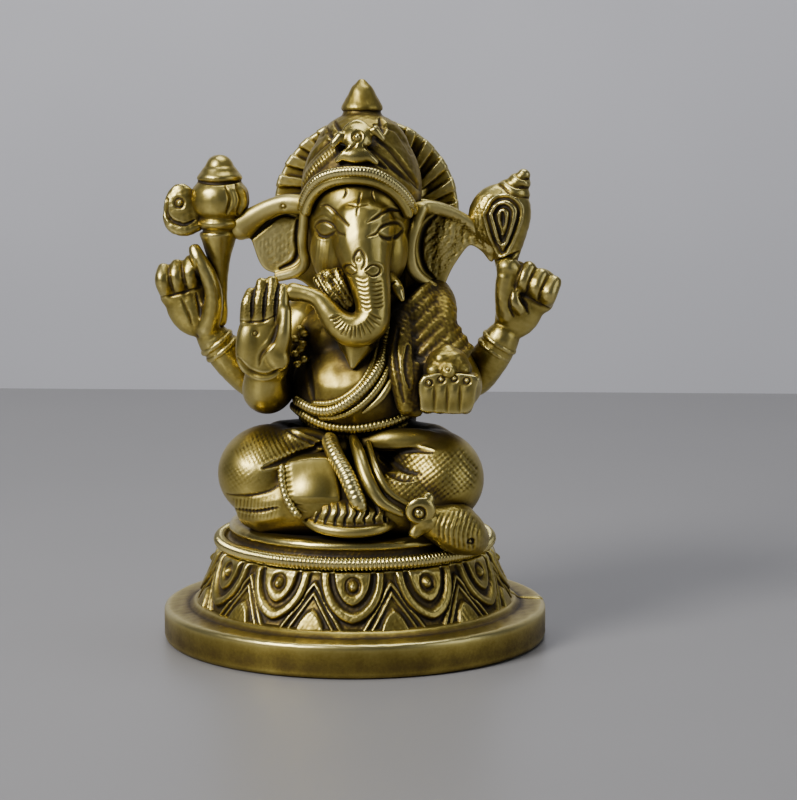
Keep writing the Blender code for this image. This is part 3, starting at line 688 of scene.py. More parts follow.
def right_leg():
    form = melt(
        BODY_GRID, 8,
        ball((-14.4, -8.2, 30.9), (9, 10.6, 8.5), (0, 8, -20)),
        limb([(-2.5, 2, 31.6), (-12.5, -4.5, 31.2)], (8, 8.4)),
        limb([(-2.0, -9.0, 36.0), (-9.0, -10.6, 36.4), (-15.4, -10.8, 34.4)], (2.0, 3.0, 3.2)),
        limb([(-14.5, -12, 27.0), (-6, -14.6, 27), (0, -14.4, 26.6)], (6.6, 6, 5.2)),
        limb([(-19.4, -13.2, 26.6), (-15.6, -16.8, 26.8), (-11.6, -18.6, 27.6)], (1.5, 1.6, 1.2)),
        limb([(-18.2, -13.4, 24.6), (-15.2, -16.8, 24.6), (-11.6, -18.6, 25.4)], (1.5, 1.5, 1.1)),
    )
    thigh = area(form, [(-20.8, 35.4), (-16.6, 39.0), (-11.0, 39.8), (-6.0, 37.2), (-4.6, 36.2),
                        (-7.8, 35.0), (-12.8, 33.6), (-17.2, 33.4)], 0.8)
    hatch(form, thigh, 0.72, -56, 0.18, 2.5)
    knee = area(form, [(-22.8, 34), (-17, 33.8), (-13.2, 31), (-20.6, 28.6)], 1.4)
    hatch(form, knee, 0.7, -50, 0.07, 2.0)
    hatch(form, knee, 0.7, 35, 0.07, 2.0)
    chisel(form, [[(-14.6, 33.2), (-10.0, 34.6), (-6.6, 35.6), (-3.6, 37.6)]], 0.9, 0.5, 0.5)
    chisel(form, [[(-21.4, 28.0), (-17.2, 28.3), (-13.6, 29.3), (-11.8, 30.4)],
                  [(-19.8, 25.5), (-15.8, 25.6), (-12.0, 26.6)]], 0.6, 0.3, 0.4)
    chisel(form, [[(-8.0, 38.6), (-5.6, 38.0), (-3.4, 36.8)], [(-11.0, 39.0), (-6.6, 37.0), (-3.0, 35.6)]],
           0.7, 0.35, 0.5)
    bands = area(form, [(-20.6, 27.6), (-12, 29), (-11.8, 24.4), (-19.4, 23.6)], 0.6)
    hatch(form, bands, 0.66, 82, 0.12, 1.5)
    piece(form, "right_thigh_and_knee", ["right_leg"], CLOTH)


def left_leg():
    form = melt(
        BODY_GRID, 8,
        ball((14.6, -8.2, 30.2), (8.6, 10.6, 8.5), (0, -8, 20)),
        limb([(5, 2, 31.4), (13.5, -4.5, 31)], (8, 8.2)),
        limb([(15, -12, 27), (8.6, -14.8, 26.8), (4, -14.4, 26)], (6.2, 5.8, 5)),
        limb([(2.4, -10.8, 36.6), (7.0, -12.2, 37.4), (12.0, -11.6, 37.2), (16.0, -9.6, 36.2)],
             (1.5, 2.0, 2.2, 2.0)),
    )
    outline = [(5.4, 35.2), (14.3, 36.0), (20.0, 36.6), (23.0, 33.0), (22.2, 29.4), (17, 27.8),
               (12.8, 27.6), (9.0, 28.6), (6.4, 31.0)]
    cloth = area(form, outline, 0.7)
    hatch(form, cloth, 0.76, 38, 0.12, 2.5)
    hatch(form, cloth, 0.76, -50, 0.12, 2.5)
    chisel(form, [[(1.8, 36.0), (6.6, 35.5), (12.0, 36.0), (14.6, 35.9)]], 0.8, 0.5, 0.3)
    chisel(
        form,
        [
            [(3.8, 35.2), (6.4, 34.0), (9.4, 32.8), (12.6, 32.2)],
            [(5.0, 33.6), (7.0, 32.4), (9.4, 31.5), (11.4, 31.3)],
        ],
        0.7, 0.4, 0.5,
    )
    piece(form, "left_thigh_and_knee", ["left_leg"], CLOTH)


def shin_and_anklet():
    shin = melt(
        FINE_GRID, 16,
        plate([(-9.4, 26.0), (-10.9, 29.6), (-11.4, 33.0), (-9.6, 34.6), (-3, 35.0), (-1.6, 31.5),
               (-1.2, 27.4), (-5.6, 25.6)], -20.4, -12),
        ball((-6.0, -16.4, 30.0), (6.0, 4.7, 5.0)),
    )
    shin.v[:, 1] += 0.42 * (shin.v[:, 2] - 28.6).clip(0)
    chisel(shin, [[(-10.0, 27.6), (-6.6, 26.6), (-3.4, 27.2)]], 0.6, 0.25)
    edge = area(shin, [(-12.2, 34.6), (-9.9, 34.6), (-8.6, 26.4), (-10.8, 26)], 0.4)
    hatch(shin, edge, 0.8, 8, 0.16, 1.5)
    piece(shin, "right_shin_smooth", ["right_shin"], SKIN)
    line = smooth([(-11.4, -18.0, 34.0), (-11.3, -19.0, 31.6), (-10.6, -20.0, 28.8),
                   (-9.0, -20.8, 26.2), (-7.8, -21.2, 25.2)])
    beads = rope(line, 0.72, 0.9, 0.14)
    piece(beads, "beaded_anklet", ["right_anklet"], CLOTH)


def dhoti_fan():
    form = melt(
        FINE_GRID, 4,
        ball((0.6, -14.6, 24.4), (9.0, 8.3, 4.0), (-10, 0, 0)),
        limb([(-8.0, -18.4, 24.6), (-4.6, -21.6, 23.5), (0.4, -23.0, 23.0), (5.4, -21.8, 23.3),
              (9.0, -18.2, 24.2)], (0.7, 0.95, 1.0, 0.95, 0.7)),
    )
    marks = []
    for k in range(9):
        x = -6.6 + 1.68 * k
        lean = 0.5 - 0.13 * k
        marks.append([(x + lean, 27.7 - 0.05 * abs(k - 4)), (x + 0.25, 26.4), (x - 0.3, 25.2),
                      (x - 0.3 - lean * 0.4, 24.2 + 0.08 * abs(k - 4))])
    chisel(form, marks, 0.62, 0.62, 0.45)
    piece(form, "pleated_fan", ["dhoti_fan"], CLOTH)


def sashes(skin):
    tail = smooth([(-3.8, -11.6, 38.2), (-2.6, -16.2, 36.0), (0.0, -20.2, 32.4), (1.8, -21.9, 28.8),
                   (3.2, -22.2, 26.6)])
    piece(rope(tail, 1.5, 0.9, 0.06), "rope_sash", ["sash_rope_tail"], CLOTH)
    inner = smooth([(0.6, -12.6, 37.8), (1.9, -17.2, 35.6), (3.6, -20.4, 31.6), (6.0, -21.6, 28.2),
                    (9.6, -21.2, 26.0)])
    outer = smooth([(3.2, -13.2, 37.2), (5.0, -18.6, 33.2), (7.2, -20.4, 29.8), (10.8, -20.6, 27.4)])
    for name, node, line, radius in (
        ("inner_sash_fold", "sash_inner_fold", inner, 1.25),
        ("outer_sash_fold", "sash_outer_fold", outer, 0.75),
    ):
        share = np.linspace(0, 1, len(line))
        widths = radius * (0.55 + 0.45 * np.sin(math.pi * (share * 0.9 + 0.08)))
        form = melt(FINE_GRID, 2, sweep(line, widths))
        piece(form, name, [node], SKIN)
    thread = laid([(6.6, 57.4), (6.2, 54.4), (5.4, 50.9), (3.6, 48.0), (0.7, 45.2), (-2.4, 43.2),
                   (-5.7, 42.8), (-9.8, 44.3)], skin, 0.3)
    second = laid([(5.2, 56.6), (4.6, 53.4), (3.8, 50.4), (2.0, 47.6), (-0.6, 45.4), (-3.4, 44.2),
                   (-6.6, 44.0)], skin, 0.1)
    third = laid([(7.4, 54.4), (6.9, 50.6), (5.2, 47.2), (2.2, 44.0), (-1.4, 42.0), (-5.4, 41.5)],
                 skin, 0.15)
    strands = merged(rope(thread, 0.95, 0.66, 0.09), rope(second, 0.5, 0.62, 0.05),
                     rope(third, 0.62, 0.62, 0.06))
    piece(strands, "rope_thread", ["sacred_thread"], CLOTH)
    belt = laid([(-11.6, 43.4), (-7.3, 41.2), (-3.7, 40.0), (0.5, 39.7), (4.1, 40.2), (8.2, 41.2),
                 (11.6, 43.0)], skin, 0.3)
    ridge = laid([(9.2, 51.4), (7.6, 48.4), (5.4, 45.0), (2.4, 42.6)], skin, 0.1)
    lower = laid([(-10.4, 41.4), (-5.6, 38.8), (0.5, 37.9), (5.6, 38.5), (9.6, 40.0)], skin, 0.3)
    flat = melt(FINE_GRID, 1, sweep(ridge, 0.75 * np.sin(np.linspace(0.5, 2.7, len(ridge)))))
    belts = merged(rope(belt, 0.9, 0.72, 0.09), rope(lower, 0.7, 0.7, 0.08), flat)
    piece(belts, "rope_belts", ["waist_rope_belt"], CLOTH)


def merged(*forms):
    verts = np.vstack([f.v for f in forms])
    shifts = np.cumsum([0, *[len(f.v) for f in forms[:-1]]])
    return Form(verts, np.vstack([f.f + shift for f, shift in zip(forms, shifts)]))


# ---- Head -----------------------------------------------------------------------------------


def eye(form, x, z, side):
    """A shallow almond eye between two lids. side is -1 for the eye towards -X, 1 for the other."""
    form.push(0.14 * patch(form, x, z - 0.1, 1.9, 1.35, 8 * side, 0.7))
    upper = [(x + 1.9 * side, z), (x + 1.1 * side, z + 1.05), (x - 0.2 * side, z + 1.25),
             (x - 1.5 * side, z + 0.7), (x - 2.5 * side, z - 0.4), (x - 3.9 * side, z - 0.85)]
    lower = [(x + 1.8 * side, z - 0.1), (x + 0.9 * side, z - 1.15), (x - 0.3 * side, z - 1.4),
             (x - 1.4 * side, z - 0.9), (x - 2.1 * side, z - 0.2)]
    crease = [(x + 1.9 * side, z + 1.3), (x + 0.4 * side, z + 2.2), (x - 1.4 * side, z + 1.6)]
    chisel(form, [upper, lower], 0.62, 0.42, 0.15)
    chisel(form, [crease], 0.6, 0.12, 0.2)


def trunk_line():
    return smooth([
        (2.2, -8.6, 75), (2.4, -11.0, 71), (3.2, -13.2, 67.2), (3.9, -14.6, 64), (4.3, -15.3, 61),
        (3.8, -15.8, 58.3), (1.2, -16.1, 57), (-1.6, -16.1, 58.2), (-3.5, -15.9, 60.4),
        (-5.2, -15.6, 62.4), (-7.6, -15.2, 63.3), (-9.7, -14.8, 63.5),
    ])


def trunk_ticks(form):
    """Short chased wrinkles down the outer side of the trunk and round its bend."""
    marks = []
    for k in range(8):
        z = 66.1 - 0.74 * k
        marks.append([(1.5 + 0.15 * k, z + 0.2), (2.4 + 0.14 * k, z - 0.05), (3.3 + 0.1 * k, z + 0.05)])
    for k in range(7):
        z = 65.5 - 0.7 * k
        marks.append([(4.1 + 0.06 * k, z), (4.9 + 0.07 * k, z - 0.1), (5.9 + 0.05 * k, z + 0.2)])
    centre = (0.9, 61.0)
    for k in range(14):
        angle = math.radians(-14 - 10.6 * k)
        near, out = 3.1 - 0.04 * k, 5.2 - 0.11 * k + 0.35 * (k % 2)
        bend = angle - 0.09
        marks.append([
            (centre[0] + near * math.cos(angle), centre[1] + near * math.sin(angle) * 1.05),
            (centre[0] + out * math.cos(bend), centre[1] + out * math.sin(bend) * 1.05),
        ])
    chisel(form, marks, 0.42, 0.24, 0.3)


def flower(form):
    """Three petals drawn at the top of the trunk."""
    petals = [
        [(1.6, 67.5), (0.95, 69.1), (1.35, 70.3), (2.1, 70.9), (2.85, 69.9), (3.0, 68.7), (2.4, 67.6)],
        [(1.5, 67.5), (0.4, 68.3), (-0.7, 67.9), (-0.6, 67.0), (0.4, 66.6), (1.5, 67.1)],
        [(3.0, 67.5), (4.2, 68.4), (5.5, 68.0), (5.5, 67.0), (4.4, 66.5), (3.2, 67.1)],
    ]
    chisel(form, petals, 0.42, 0.32, 0.4)
    ring_mark(form, 1.95, 69.2, 0.25, 0.3, 0.2, 0.1)


def head():
    line = trunk_line()
    sizes_along = (5.8, 5.2, 4.0, 3.45, 3.1, 3.15, 3.05, 2.65, 2.1, 1.6, 1.45, 1.75)
    radii = smooth([[r] for r in sizes_along])
    form = melt(
        FACE_GRID, 18,
        ball((1.4, -2.6, 75), (9.3, 9.4, 9)),
        ball((1.4, -3.5, 77.8), (8.6, 8.3, 7.6)),
        ball((1.4, -4.6, 71.0), (8.7, 7.8, 9.2)),
        ball((1.4, -4.4, 62.4), (6.6, 6.8, 5)),
        limb([(1.4, -1, 66), (1.4, 0.6, 59)], (6.4, 6.2)),
        ball((-3.3, -7.0, 69.4), (3.9, 3.9, 5.8), (0, -10, 0)),
        ball((6.4, -6.8, 69.4), (3.5, 3.9, 5.8), (0, 10, 0)),
        ball((-0.8, -9.0, 69.6), (3.6, 3.4, 5.4)),
        ball((4.6, -8.8, 69.6), (3.4, 3.4, 5.4)),
        sweep(line, radii[:, 0]),
        ball((-10.1, -14.6, 63.5), (0.9, 1.9, 1.6)),
    )
    nostril = np.linalg.norm(form.v - np.array([-11.2, -14.6, 63.6]), axis=1)
    form.push(-1.2 * np.exp(-((nostril / 0.7) ** 2)))
    eye(form, -4.6, 74.2, -1)
    eye(form, 7.3, 74.0, 1)
    chisel(
        form,
        [
            [(-5.2, 78.0), (-4.2, 78.2), (-2.9, 77.4), (-1.4, 76.1), (0.0, 75.0)],
            [(3.4, 75.6), (4.9, 76.4), (5.9, 77.1), (7.0, 77.5), (8.4, 77.2)],
        ],
        0.6, 0.42, 0.15,
    )
    chisel(
        form,
        [
            [(-0.7, 81.2), (-0.6, 80.4), (-1.1, 79.4)],
            [(1.9, 80.4), (1.6, 78.6), (1.4, 76.6)],
            [(3.9, 81.0), (3.9, 80.2), (4.4, 79.0)],
            [(-0.1, 78.5), (1.5, 78.3), (3.2, 78.5)],
        ],
        0.34, 0.24, 0.1,
    )
    flower(form)
    trunk_ticks(form)
    cheek = patch(form, -5.0, 69.2, 2.6, 5.4, 0, 0.8)
    hatch(form, cheek, 0.62, 88, 0.045, 1.0, 0.1)
    form.push(0.015 * speckle(form, 2.6, 42))
    piece(form, "elephant_head", ["head", "trunk"], SKIN)


def tusks():
    """One tusk is broken off short, the other is whole."""
    stump = melt(
        FACE_GRID, 3,
        limb([(-4.8, -12.4, 65.4), (-2.8, -13.8, 63.2), (-0.2, -14.4, 60.9)], (1.5, 1.6, 0.9)),
        limb([(-2.2, -12.6, 66.4), (-1.2, -13.8, 64.0), (0.5, -14.2, 61.4)], (1.4, 1.4, 0.8)),
        ball((-3.4, -13.2, 66.2), (1.5, 1.5, 1.0), (0, 30, 0)),
    )
    hatch(stump, faces_front(stump), 1.1, -56, 0.24, 1.5)
    stump.push(0.08 * speckle(stump, 0.6, 41))
    piece(stump, "broken_tusk", ["right_tusk"], TRIM)
    tusk = melt(
        FACE_GRID, 3,
        limb([(6.4, -9.4, 65.6), (8.2, -12.2, 63.8), (9.2, -13.2, 62.1)], (1.5, 1.25, 0.5)),
    )
    chisel(tusk, [[(6.6, 64.4), (7.4, 64.9), (8.0, 65.2)]], 0.4, 0.25)
    piece(tusk, "whole_tusk", ["left_tusk"], TRIM)


def chin():
    form = melt(
        FACE_GRID, 6,
        ball((1.2, -10.6, 55.4), (3.6, 3.6, 4.2), (-14, 0, 0)),
        limb([(1.2, -13.4, 53.8), (0.7, -14.8, 50.6)], (2.9, 0.6)),
    )
    piece(form, "pointed_chin", ["lower_lip"], SKIN)


TURBAN_X = 1.4


def crown():
    form = melt(
        FACE_GRID, 5,
        ball((TURBAN_X, -0.8, 80.6), (10.7, 10.8, 12.5)),
        ball((1.5, -0.4, 86.7), (8.5, 8.5, 7.5)),
        limb([(1.4, 0, 90), (1.4, 0.3, 93.4)], (4.4, 3.6)),
    )
    brow = smooth([(-9.4, 76.6), (-8.0, 79.4), (-7.0, 81.4), (-5.2, 83.0), (-2.7, 84.0), (0.7, 84.4),
                   (3.8, 84.0), (6.4, 82.9), (8.6, 81.0), (10.0, 78.8), (11.0, 76.6)])
    gap, _ = along(form, brow)
    inside = (form.v[:, 0] > -9.4) & (form.v[:, 0] < 11.0)
    below = inside & (form.v[:, 2] < np.interp(form.v[:, 0], brow[:, 0], brow[:, 1]))
    form.push(-1.8 * below * (gap / 1.4).clip(0, 1) * faces_front(form, edge=-0.1))
    band = area(form, [(-9.8, 80.0), (-8.2, 84.0), (-5.8, 86.6), (-3.6, 88.4), (-1.6, 89.6),
                       (-0.6, 88.2), (-2.6, 86.4), (-5.2, 84.2), (-7.8, 81.0)], 0.7)
    form.push(0.6 * band)
    hatch(form, band, 0.62, 118, 0.17, 2.0)
    form.wear_and_shade = 0.12 * band
    chisel(
        form,
        [
            [(-9.4, 82.4), (-8.0, 85.4), (-5.8, 87.8), (-3.8, 89.4), (-2.0, 90.6)],
            [(-6.8, 89.4), (-4.8, 90.6), (-3.0, 91.0)],
            [(-5.0, 92.0), (-4.0, 90.4), (-3.2, 89.6)],
            [(-3.4, 92.8), (-2.4, 91.4), (-1.6, 90.8)],
            [(2.9, 88.2), (5.6, 86.2), (8.1, 84.1), (10.6, 81.9), (12.7, 79.3)],
            [(4.4, 89.5), (7.0, 87.6), (9.4, 84.6), (12.0, 80.6)],
            [(4.0, 92.0), (6.4, 91.6), (8.2, 90.6), (10.4, 86.8)],
            [(3.6, 87.2), (4.6, 85.8), (6.2, 84.6)],
            [(4.8, 92.8), (5.4, 91.4), (5.2, 90.2)],
        ],
        0.85, 0.5, 0.4,
    )
    form.push(0.02 * speckle(form, 1.6, 51))
    piece(form, "turban", ["crown"], AGED)


def rim_line(points):
    """A line round the front of the turban, drawn in the XZ plane, furthest out in the middle."""
    line = smooth(points, 8)
    share = ((line[:, 0] - TURBAN_X) / 11.6).clip(-0.98, 0.98)
    return np.stack([line[:, 0], -0.9 - 11.1 * np.sqrt(1 - share**2), line[:, 1]], 1)


def turban_rim():
    bead = rim_line([(-8.8, 77.6), (-8.0, 79.6), (-7.0, 81.2), (-5.3, 82.8), (-2.7, 83.8), (0.7, 84.2),
                     (3.8, 83.9), (6.4, 82.7), (8.6, 80.9), (10.1, 78.9), (10.8, 77.4)])
    lip = rim_line([(-8.0, 76.8), (-7.3, 78.7), (-6.0, 80.5), (-4.2, 81.8), (-1.9, 82.6), (0.8, 82.8),
                    (3.8, 82.4), (6.3, 81.3), (8.2, 79.7), (9.5, 77.8), (10.0, 76.6)])
    roll = melt(
        FACE_GRID, 6,
        sweep(lip + [0, 0.5, 0], np.full(len(lip), 1.0), flat=0.8),
        sweep(bead + [0, 1.2, -0.2], np.full(len(bead), 1.0)),
    )
    cord = rope(bead, 1.0, 0.56, 0.055)
    piece(merged(roll, cord), "turban_rim", ["crown_rope_band"], TRIM)


def turban_jewel():
    jewel = melt(
        FACE_GRID, 8,
        ball((1.2, -9.7, 89.9), (2.5, 1.5, 2.7), (-34, 0, 0)),
        limb([(-1.3, -9.9, 89.2), (-0.6, -9.0, 91.4), (1.2, -8.4, 92.4), (2.9, -9.0, 91.3),
              (3.3, -10.1, 89.0)], (0.6, 0.65, 0.65, 0.65, 0.6)),
        ball((1.1, -11.0, 86.9), (2.7, 1.3, 1.6), (-24, 0, 0)),
        limb([(-2.2, -10.9, 85.9), (-0.6, -11.2, 87.2), (1.0, -11.0, 88.3)], (0.6, 0.8, 0.6)),
        limb([(4.6, -10.9, 85.6), (3.0, -11.2, 86.9), (1.4, -11.0, 88.2)], (0.6, 0.8, 0.6)),
        limb([(-1.6, -10.0, 90.2), (-2.8, -10.2, 88.7)], (0.9, 0.8)),
        limb([(4.2, -9.2, 91.2), (5.6, -9.0, 89.6)], (0.9, 0.6)),
    )
    ring_mark(jewel, 1.35, 90.1, 0.8, 0.42, 0.3, 0.25)
    chisel(jewel, [[(1.3, 89.0), (0.6, 88.3), (-0.6, 87.6)], [(2.4, 88.7), (3.4, 87.8), (4.4, 86.6)]],
           0.5, 0.3)
    piece(jewel, "turban_jewel", ["crown_jewel"], TRIM)


def finial():
    foot = low("crown_finial")[2]
    top = high("crown_finial")[2]
    x, y, _ = middle("crown_finial")
    form = melt(
        FACE_GRID, 5,
        turned(
            [(0, foot - 1.6), (3.2, foot - 1.2), (3.2, foot - 0.1), (3.7, foot + 0.3),
             (3.65, foot + 0.9), (3.2, foot + 1.7), (2.6, foot + 2.8), (1.9, foot + 4.2),
             (1.2, top - 0.9), (0.6, top - 0.2), (0, top)],
            (x, y, 0),
        )
    )
    form.push(0.03 * speckle(form, 2.4, 53))
    piece(form, "pointed_finial", ["crown_finial"], AGED)


def halo():
    """The glory: flat bars between narrow grooves, all leaning a little off the radius."""
    centre = middle("halo")
    radius = (high("halo")[0] - low("halo")[0]) / 2
    flutes = 25
    steps = flutes * 34
    angle = np.arange(steps) * math.tau / steps
    first, slant = math.radians(2.8), math.tan(math.radians(16))
    loops = []
    outline = [(0.02, -1.1), (9.0, -1.1), (10.4, -1.1)]
    outline += [(r, -1.15) for r in np.linspace(10.8, radius - 0.4, 20)]
    outline += [(radius, -0.7), (radius, 0), (radius, 0.7), (radius - 0.4, 1.1)]
    outline += [(r, 1.1 + 1.9 * max(0, 1 - (r / 15) ** 2)) for r in np.linspace(radius - 2, 0.02, 24)]
    for r, depth in outline:
        turn = angle - first - slant * math.log(r / radius)
        bar = ((np.cos(turn * flutes) + 0.3) * 2.2).clip(0, 1) ** 0.7
        ribbed = min(1.0, max(0.0, (r - 10.4) / 1.4))
        front = 1.0 if depth < 0.2 else 0.0
        sunk = ribbed * front * 1.3 * (1 - bar)
        edge = ribbed * 0.15 * (1 - bar) * (1.0 if r > radius - 0.6 else 0.0)
        loops.append(
            np.stack([centre[0] + (r - edge) * np.cos(angle), centre[1] + depth + sunk,
                      centre[2] + (r - edge) * np.sin(angle)], 1)
        )
    form = grid_form(np.array(loops), wrap=False)
    form.relax(1)
    form.push(0.03 * speckle(form, 1.4, 54) * (form.v[:, 1] < centre[1]))
    form.wear_and_shade = 0.12
    piece(form, "fluted_halo", ["halo"], FILED)


def right_ear():
    form = melt(
        FINE_GRID, 5,
        plate([(-6.5, 79.6), (-12, 79.2), (-18.2, 77.2), (-19.4, 74.6), (-18.3, 71.2),
               (-16.6, 66.8), (-14, 65.4), (-9.6, 64.2), (-6, 63)], -0.6, 1.2),
        limb([(-8.2, -3.4, 77.8), (-11.6, -2.6, 78.0), (-14.6, -1.8, 77.2), (-17.6, -1.0, 75.6),
              (-20.2, -0.4, 73.8)], (1.9, 1.8, 1.8, 2.0, 2.6), flat=0.8),
        limb([(-8.2, -4.6, 77.6), (-8.6, -4.6, 74), (-8.8, -4.4, 70.4), (-8.4, -4.2, 67.8),
              (-10.0, -3.0, 66.0), (-13.6, -1.4, 64.9)], (1.1, 0.95, 0.95, 1.0, 1.0, 0.9)),
    )
    chisel(form, [[(-10.6, 75.5), (-12.8, 75.9), (-15.0, 74.6), (-18.6, 71.4)],
                   [(-10.0, 75), (-10.2, 72), (-9.9, 69.6), (-10.8, 67.6), (-13.2, 66.4)]], 0.8, 0.5)
    panel = area(form, [(-10.4, 75.2), (-14.2, 74.4), (-18.2, 70.8), (-16.4, 67), (-13.4, 66.6),
                         (-10.6, 67.8)], 0.6)
    form.push(panel * 0.05 * speckle(form, 0.42, 55))
    form.wear_and_shade = 0.45 * panel
    ring_mark(form, -12.3, 77.6, 0.4, 0.35, 0.3, 0.1)
    piece(form, "right_ear_fan", ["right_ear"], FILED)


def left_ear():
    form = melt(
        FINE_GRID, 6,
        plate([(9.2, 79.2), (12.5, 78.8), (16.1, 78.0), (19.8, 76.2), (22.6, 74.2), (24.6, 71.6),
               (25.4, 69.6), (24.4, 67.6), (22.8, 69.4), (21.0, 70.6), (20.0, 70.2), (18.4, 68.0),
               (17.2, 66.0), (16.2, 63.6), (15.5, 61.4), (12.8, 60.4), (9, 60.4)], -0.9, 1.3),
        limb([(10.8, -4.0, 77.2), (13.4, -3.0, 77.5), (16.4, -2.0, 76.8), (19.6, -1.2, 75.2),
              (22.2, -0.8, 73.0), (24.4, -0.6, 70.0)], (1.4, 1.3, 1.2, 1.1, 1.2, 1.3), flat=0.8),
        limb([(12.2, -4.0, 77.4), (10.9, -4.8, 74.2), (10.1, -5.2, 70.8), (10.3, -5.0, 67.4),
              (11.8, -4.0, 65.0), (14.6, -2.2, 62.9)], (1.2, 1.2, 1.15, 1.15, 1.1, 1.0)),
        limb([(17.2, -0.3, 74.6), (15.8, -0.4, 70.8), (15.6, -0.3, 66.6)], (2.6, 2.2, 1.4), flat=0.5),
    )
    chisel(form, [[(14.6, 76.0), (12.6, 73.8), (11.8, 70.2), (12.4, 66.8), (14.4, 64.6)]], 0.9, 0.5)
    panel = area(form, [(13.2, 75.6), (18.4, 76), (22.6, 73.0), (25.0, 69.0), (20.6, 70.6), (16.6, 66),
                        (14.2, 64.2), (12.4, 67.4), (11.9, 70.6)], 0.6)
    form.push(panel * 0.09 * speckle(form, 0.5, 57))
    hatch(form, panel, 1.3, 64, 0.14, 2.0, 0.6)
    form.wear_and_shade = 0.10 * panel
    piece(form, "left_ear_fan", ["left_ear"], FILED)


# ---- Arms and what they hold ----------------------------------------------------------------


def blessing_arm():
    fingers = []
    for i, top in enumerate((63.4, 65.2, 65.6, 64.2)):
        foot = np.array([-17.5 + 2.02 * i, -15.9, 58.4])
        bend = np.array([-17.3 + 2.0 * i, -16.1, 61.4])
        tip = np.array([-16.8 + 1.86 * i, -15.2, top])
        fingers.append(limb([foot, bend, tip], (1.3, 1.25, 1.05)))
    form = melt(
        FINE_GRID, 5,
        limb([(-8.6, -0.4, 57), (-12.6, -3, 50.6), (-14.4, -6, 46), (-15, -11, 46),
              (-14.6, -13.2, 49)], (4.8, 4.5, 4.4, 4.0, 3.6)),
        ball((-14.6, -15.4, 54.8), (4.9, 2.2, 6.6), (-4, 2, 0)),
        ball((-17.0, -16.0, 54.2), (2.5, 1.8, 5.0), (0, 4, 0)),
        ball((-12.4, -16.8, 52.8), (2.2, 1.6, 3.0), (0, -28, 0)),
        ball((-14.4, -14.2, 50.4), (3.9, 3.1, 3.4)),
        limb([(-11.8, -16.8, 53.6), (-10.9, -17.2, 56.8), (-10.7, -16.6, 60.4)], (1.5, 1.3, 1.1)),
        *fingers,
    )
    grooves = [[(x + 0.5, 65.0), (x + 0.1, 62.0), (x - 0.1, 58.8)] for x in (-16.5, -14.4, -12.4)]
    chisel(form, grooves, 0.6, 0.4, 0.1)
    chisel(form, [[(-19.0, 58.7), (-16.4, 58.5), (-14.2, 58.8), (-12.2, 59.8)]], 0.4, 0.28)
    ring_mark(form, -15.9, 56.6, 0.42, 0.32, 0.22, 0.1)
    chisel(form, [[(-12.0, 58.0), (-13.0, 55.2), (-14.8, 53.0), (-15.2, 51.2)]], 0.7, 0.3)
    chisel(form, [[(-19.0, 52.2), (-16.8, 49.8), (-14.0, 49.2), (-11.6, 50.4)]], 0.8, 0.4, 0.3)
    grit = area(form, [(-19.2, 58.8), (-12.0, 60), (-10, 66.6), (-14, 67.6), (-18.6, 65.4)], 0.5)
    form.push(grit * 0.06 * speckle(form, 0.45, 60))
    form.wear_and_shade = -0.18 * grit
    piece(form, "blessing_arm_and_palm", ["lower_right_arm", "blessing_hand"], SKIN)


def armlet():
    """A ring of beads round the upper arm, and a few more that run down in front of the chest."""
    beads = []
    axis = Vector((-0.52, -0.28, -0.8)).normalized()
    turn = Vector((0, 0, 1)).rotation_difference(axis).to_matrix()
    for a in np.arange(16) * math.tau / 16:
        at = turn @ Vector((5.0 * math.cos(a), 5.0 * math.sin(a), 0)) + Vector((-11.9, -2.6, 51.8))
        beads.append(ball(tuple(at), (1.15, 1.15, 1.15), detail=3))
    for k in range(8):
        at = (-8.9 + 0.9 * math.sin(2.3 * k), -8.4 - 0.35 * k, 56.4 - 0.85 * k)
        beads.append(ball(at, (0.85, 0.9, 0.75), detail=3))
    form = melt(FACE_GRID, 2, *beads)
    piece(form, "beaded_armlet", ["lower_right_armlet"], CLOTH)


def offering_arm():
    fingers = [
        limb([(13.7 + 2.15 * i, -14.6, 43.7), (13.8 + 2.2 * i, -15.6, 46), (14.0 + 2.2 * i, -15.5, 48.4)],
             (1.45, 1.45, 1.35))
        for i in range(4)
    ]
    form = melt(
        FINE_GRID, 6,
        limb([(11, -0.4, 56.6), (16, -2, 50.6), (18.8, -5, 46.4), (18.2, -9.6, 46.2)],
             (4.8, 4.5, 4.2, 3.6)),
        ball((17.2, -12.8, 46.2), (4.9, 3.9, 3.5)),
        plate([(12.5, 43.0), (12.9, 49.2), (21.9, 49.4), (22.2, 47.0), (20.6, 42.9)], -16.75, -12),
        *fingers,
    )
    chisel(form, [[(x, 47.6), (x, 45.2), (x, 43.0)] for x in (14.9, 17.1, 19.3)], 0.6, 0.22, 0.1)
    for x, z in ((14.0, 48.1), (16.1, 48.7), (18.3, 48.9), (20.5, 48.5)):
        ring_mark(form, x, z, 0.55, 0.36, 0.36, 0.3)
    piece(form, "offering_arm_and_palm", ["lower_left_arm", "offering_hand"], SKIN)


def heap_of_sweets():
    """Balls in two rings with one on top, melted into a heap."""
    sweets = [ball((17, -12.6, 50.0), (4.1, 3.7, 4.0))]
    for level, count, reach, height in ((0, 7, 3.1, 50.0), (1, 5, 1.9, 52.0), (2, 1, 0.0, 53.0)):
        for i in range(count):
            a = math.tau * (i + 0.5 * level) / count - 1.45
            at = (17 + reach * math.cos(a), -12.8 + reach * math.sin(a), height)
            sweets.append(ball(at, (1.5, 1.5, 1.4), detail=3))
    heap = melt(FINE_GRID, 8, *sweets)
    ring_mark(heap, 17.2, 50.6, 0.45, 0.3, 0.2, 0.1)
    heap.push(0.03 * speckle(heap, 0.8, 64))
    piece(heap, "heap_of_sweets", ["sweets_heap"], AGED)


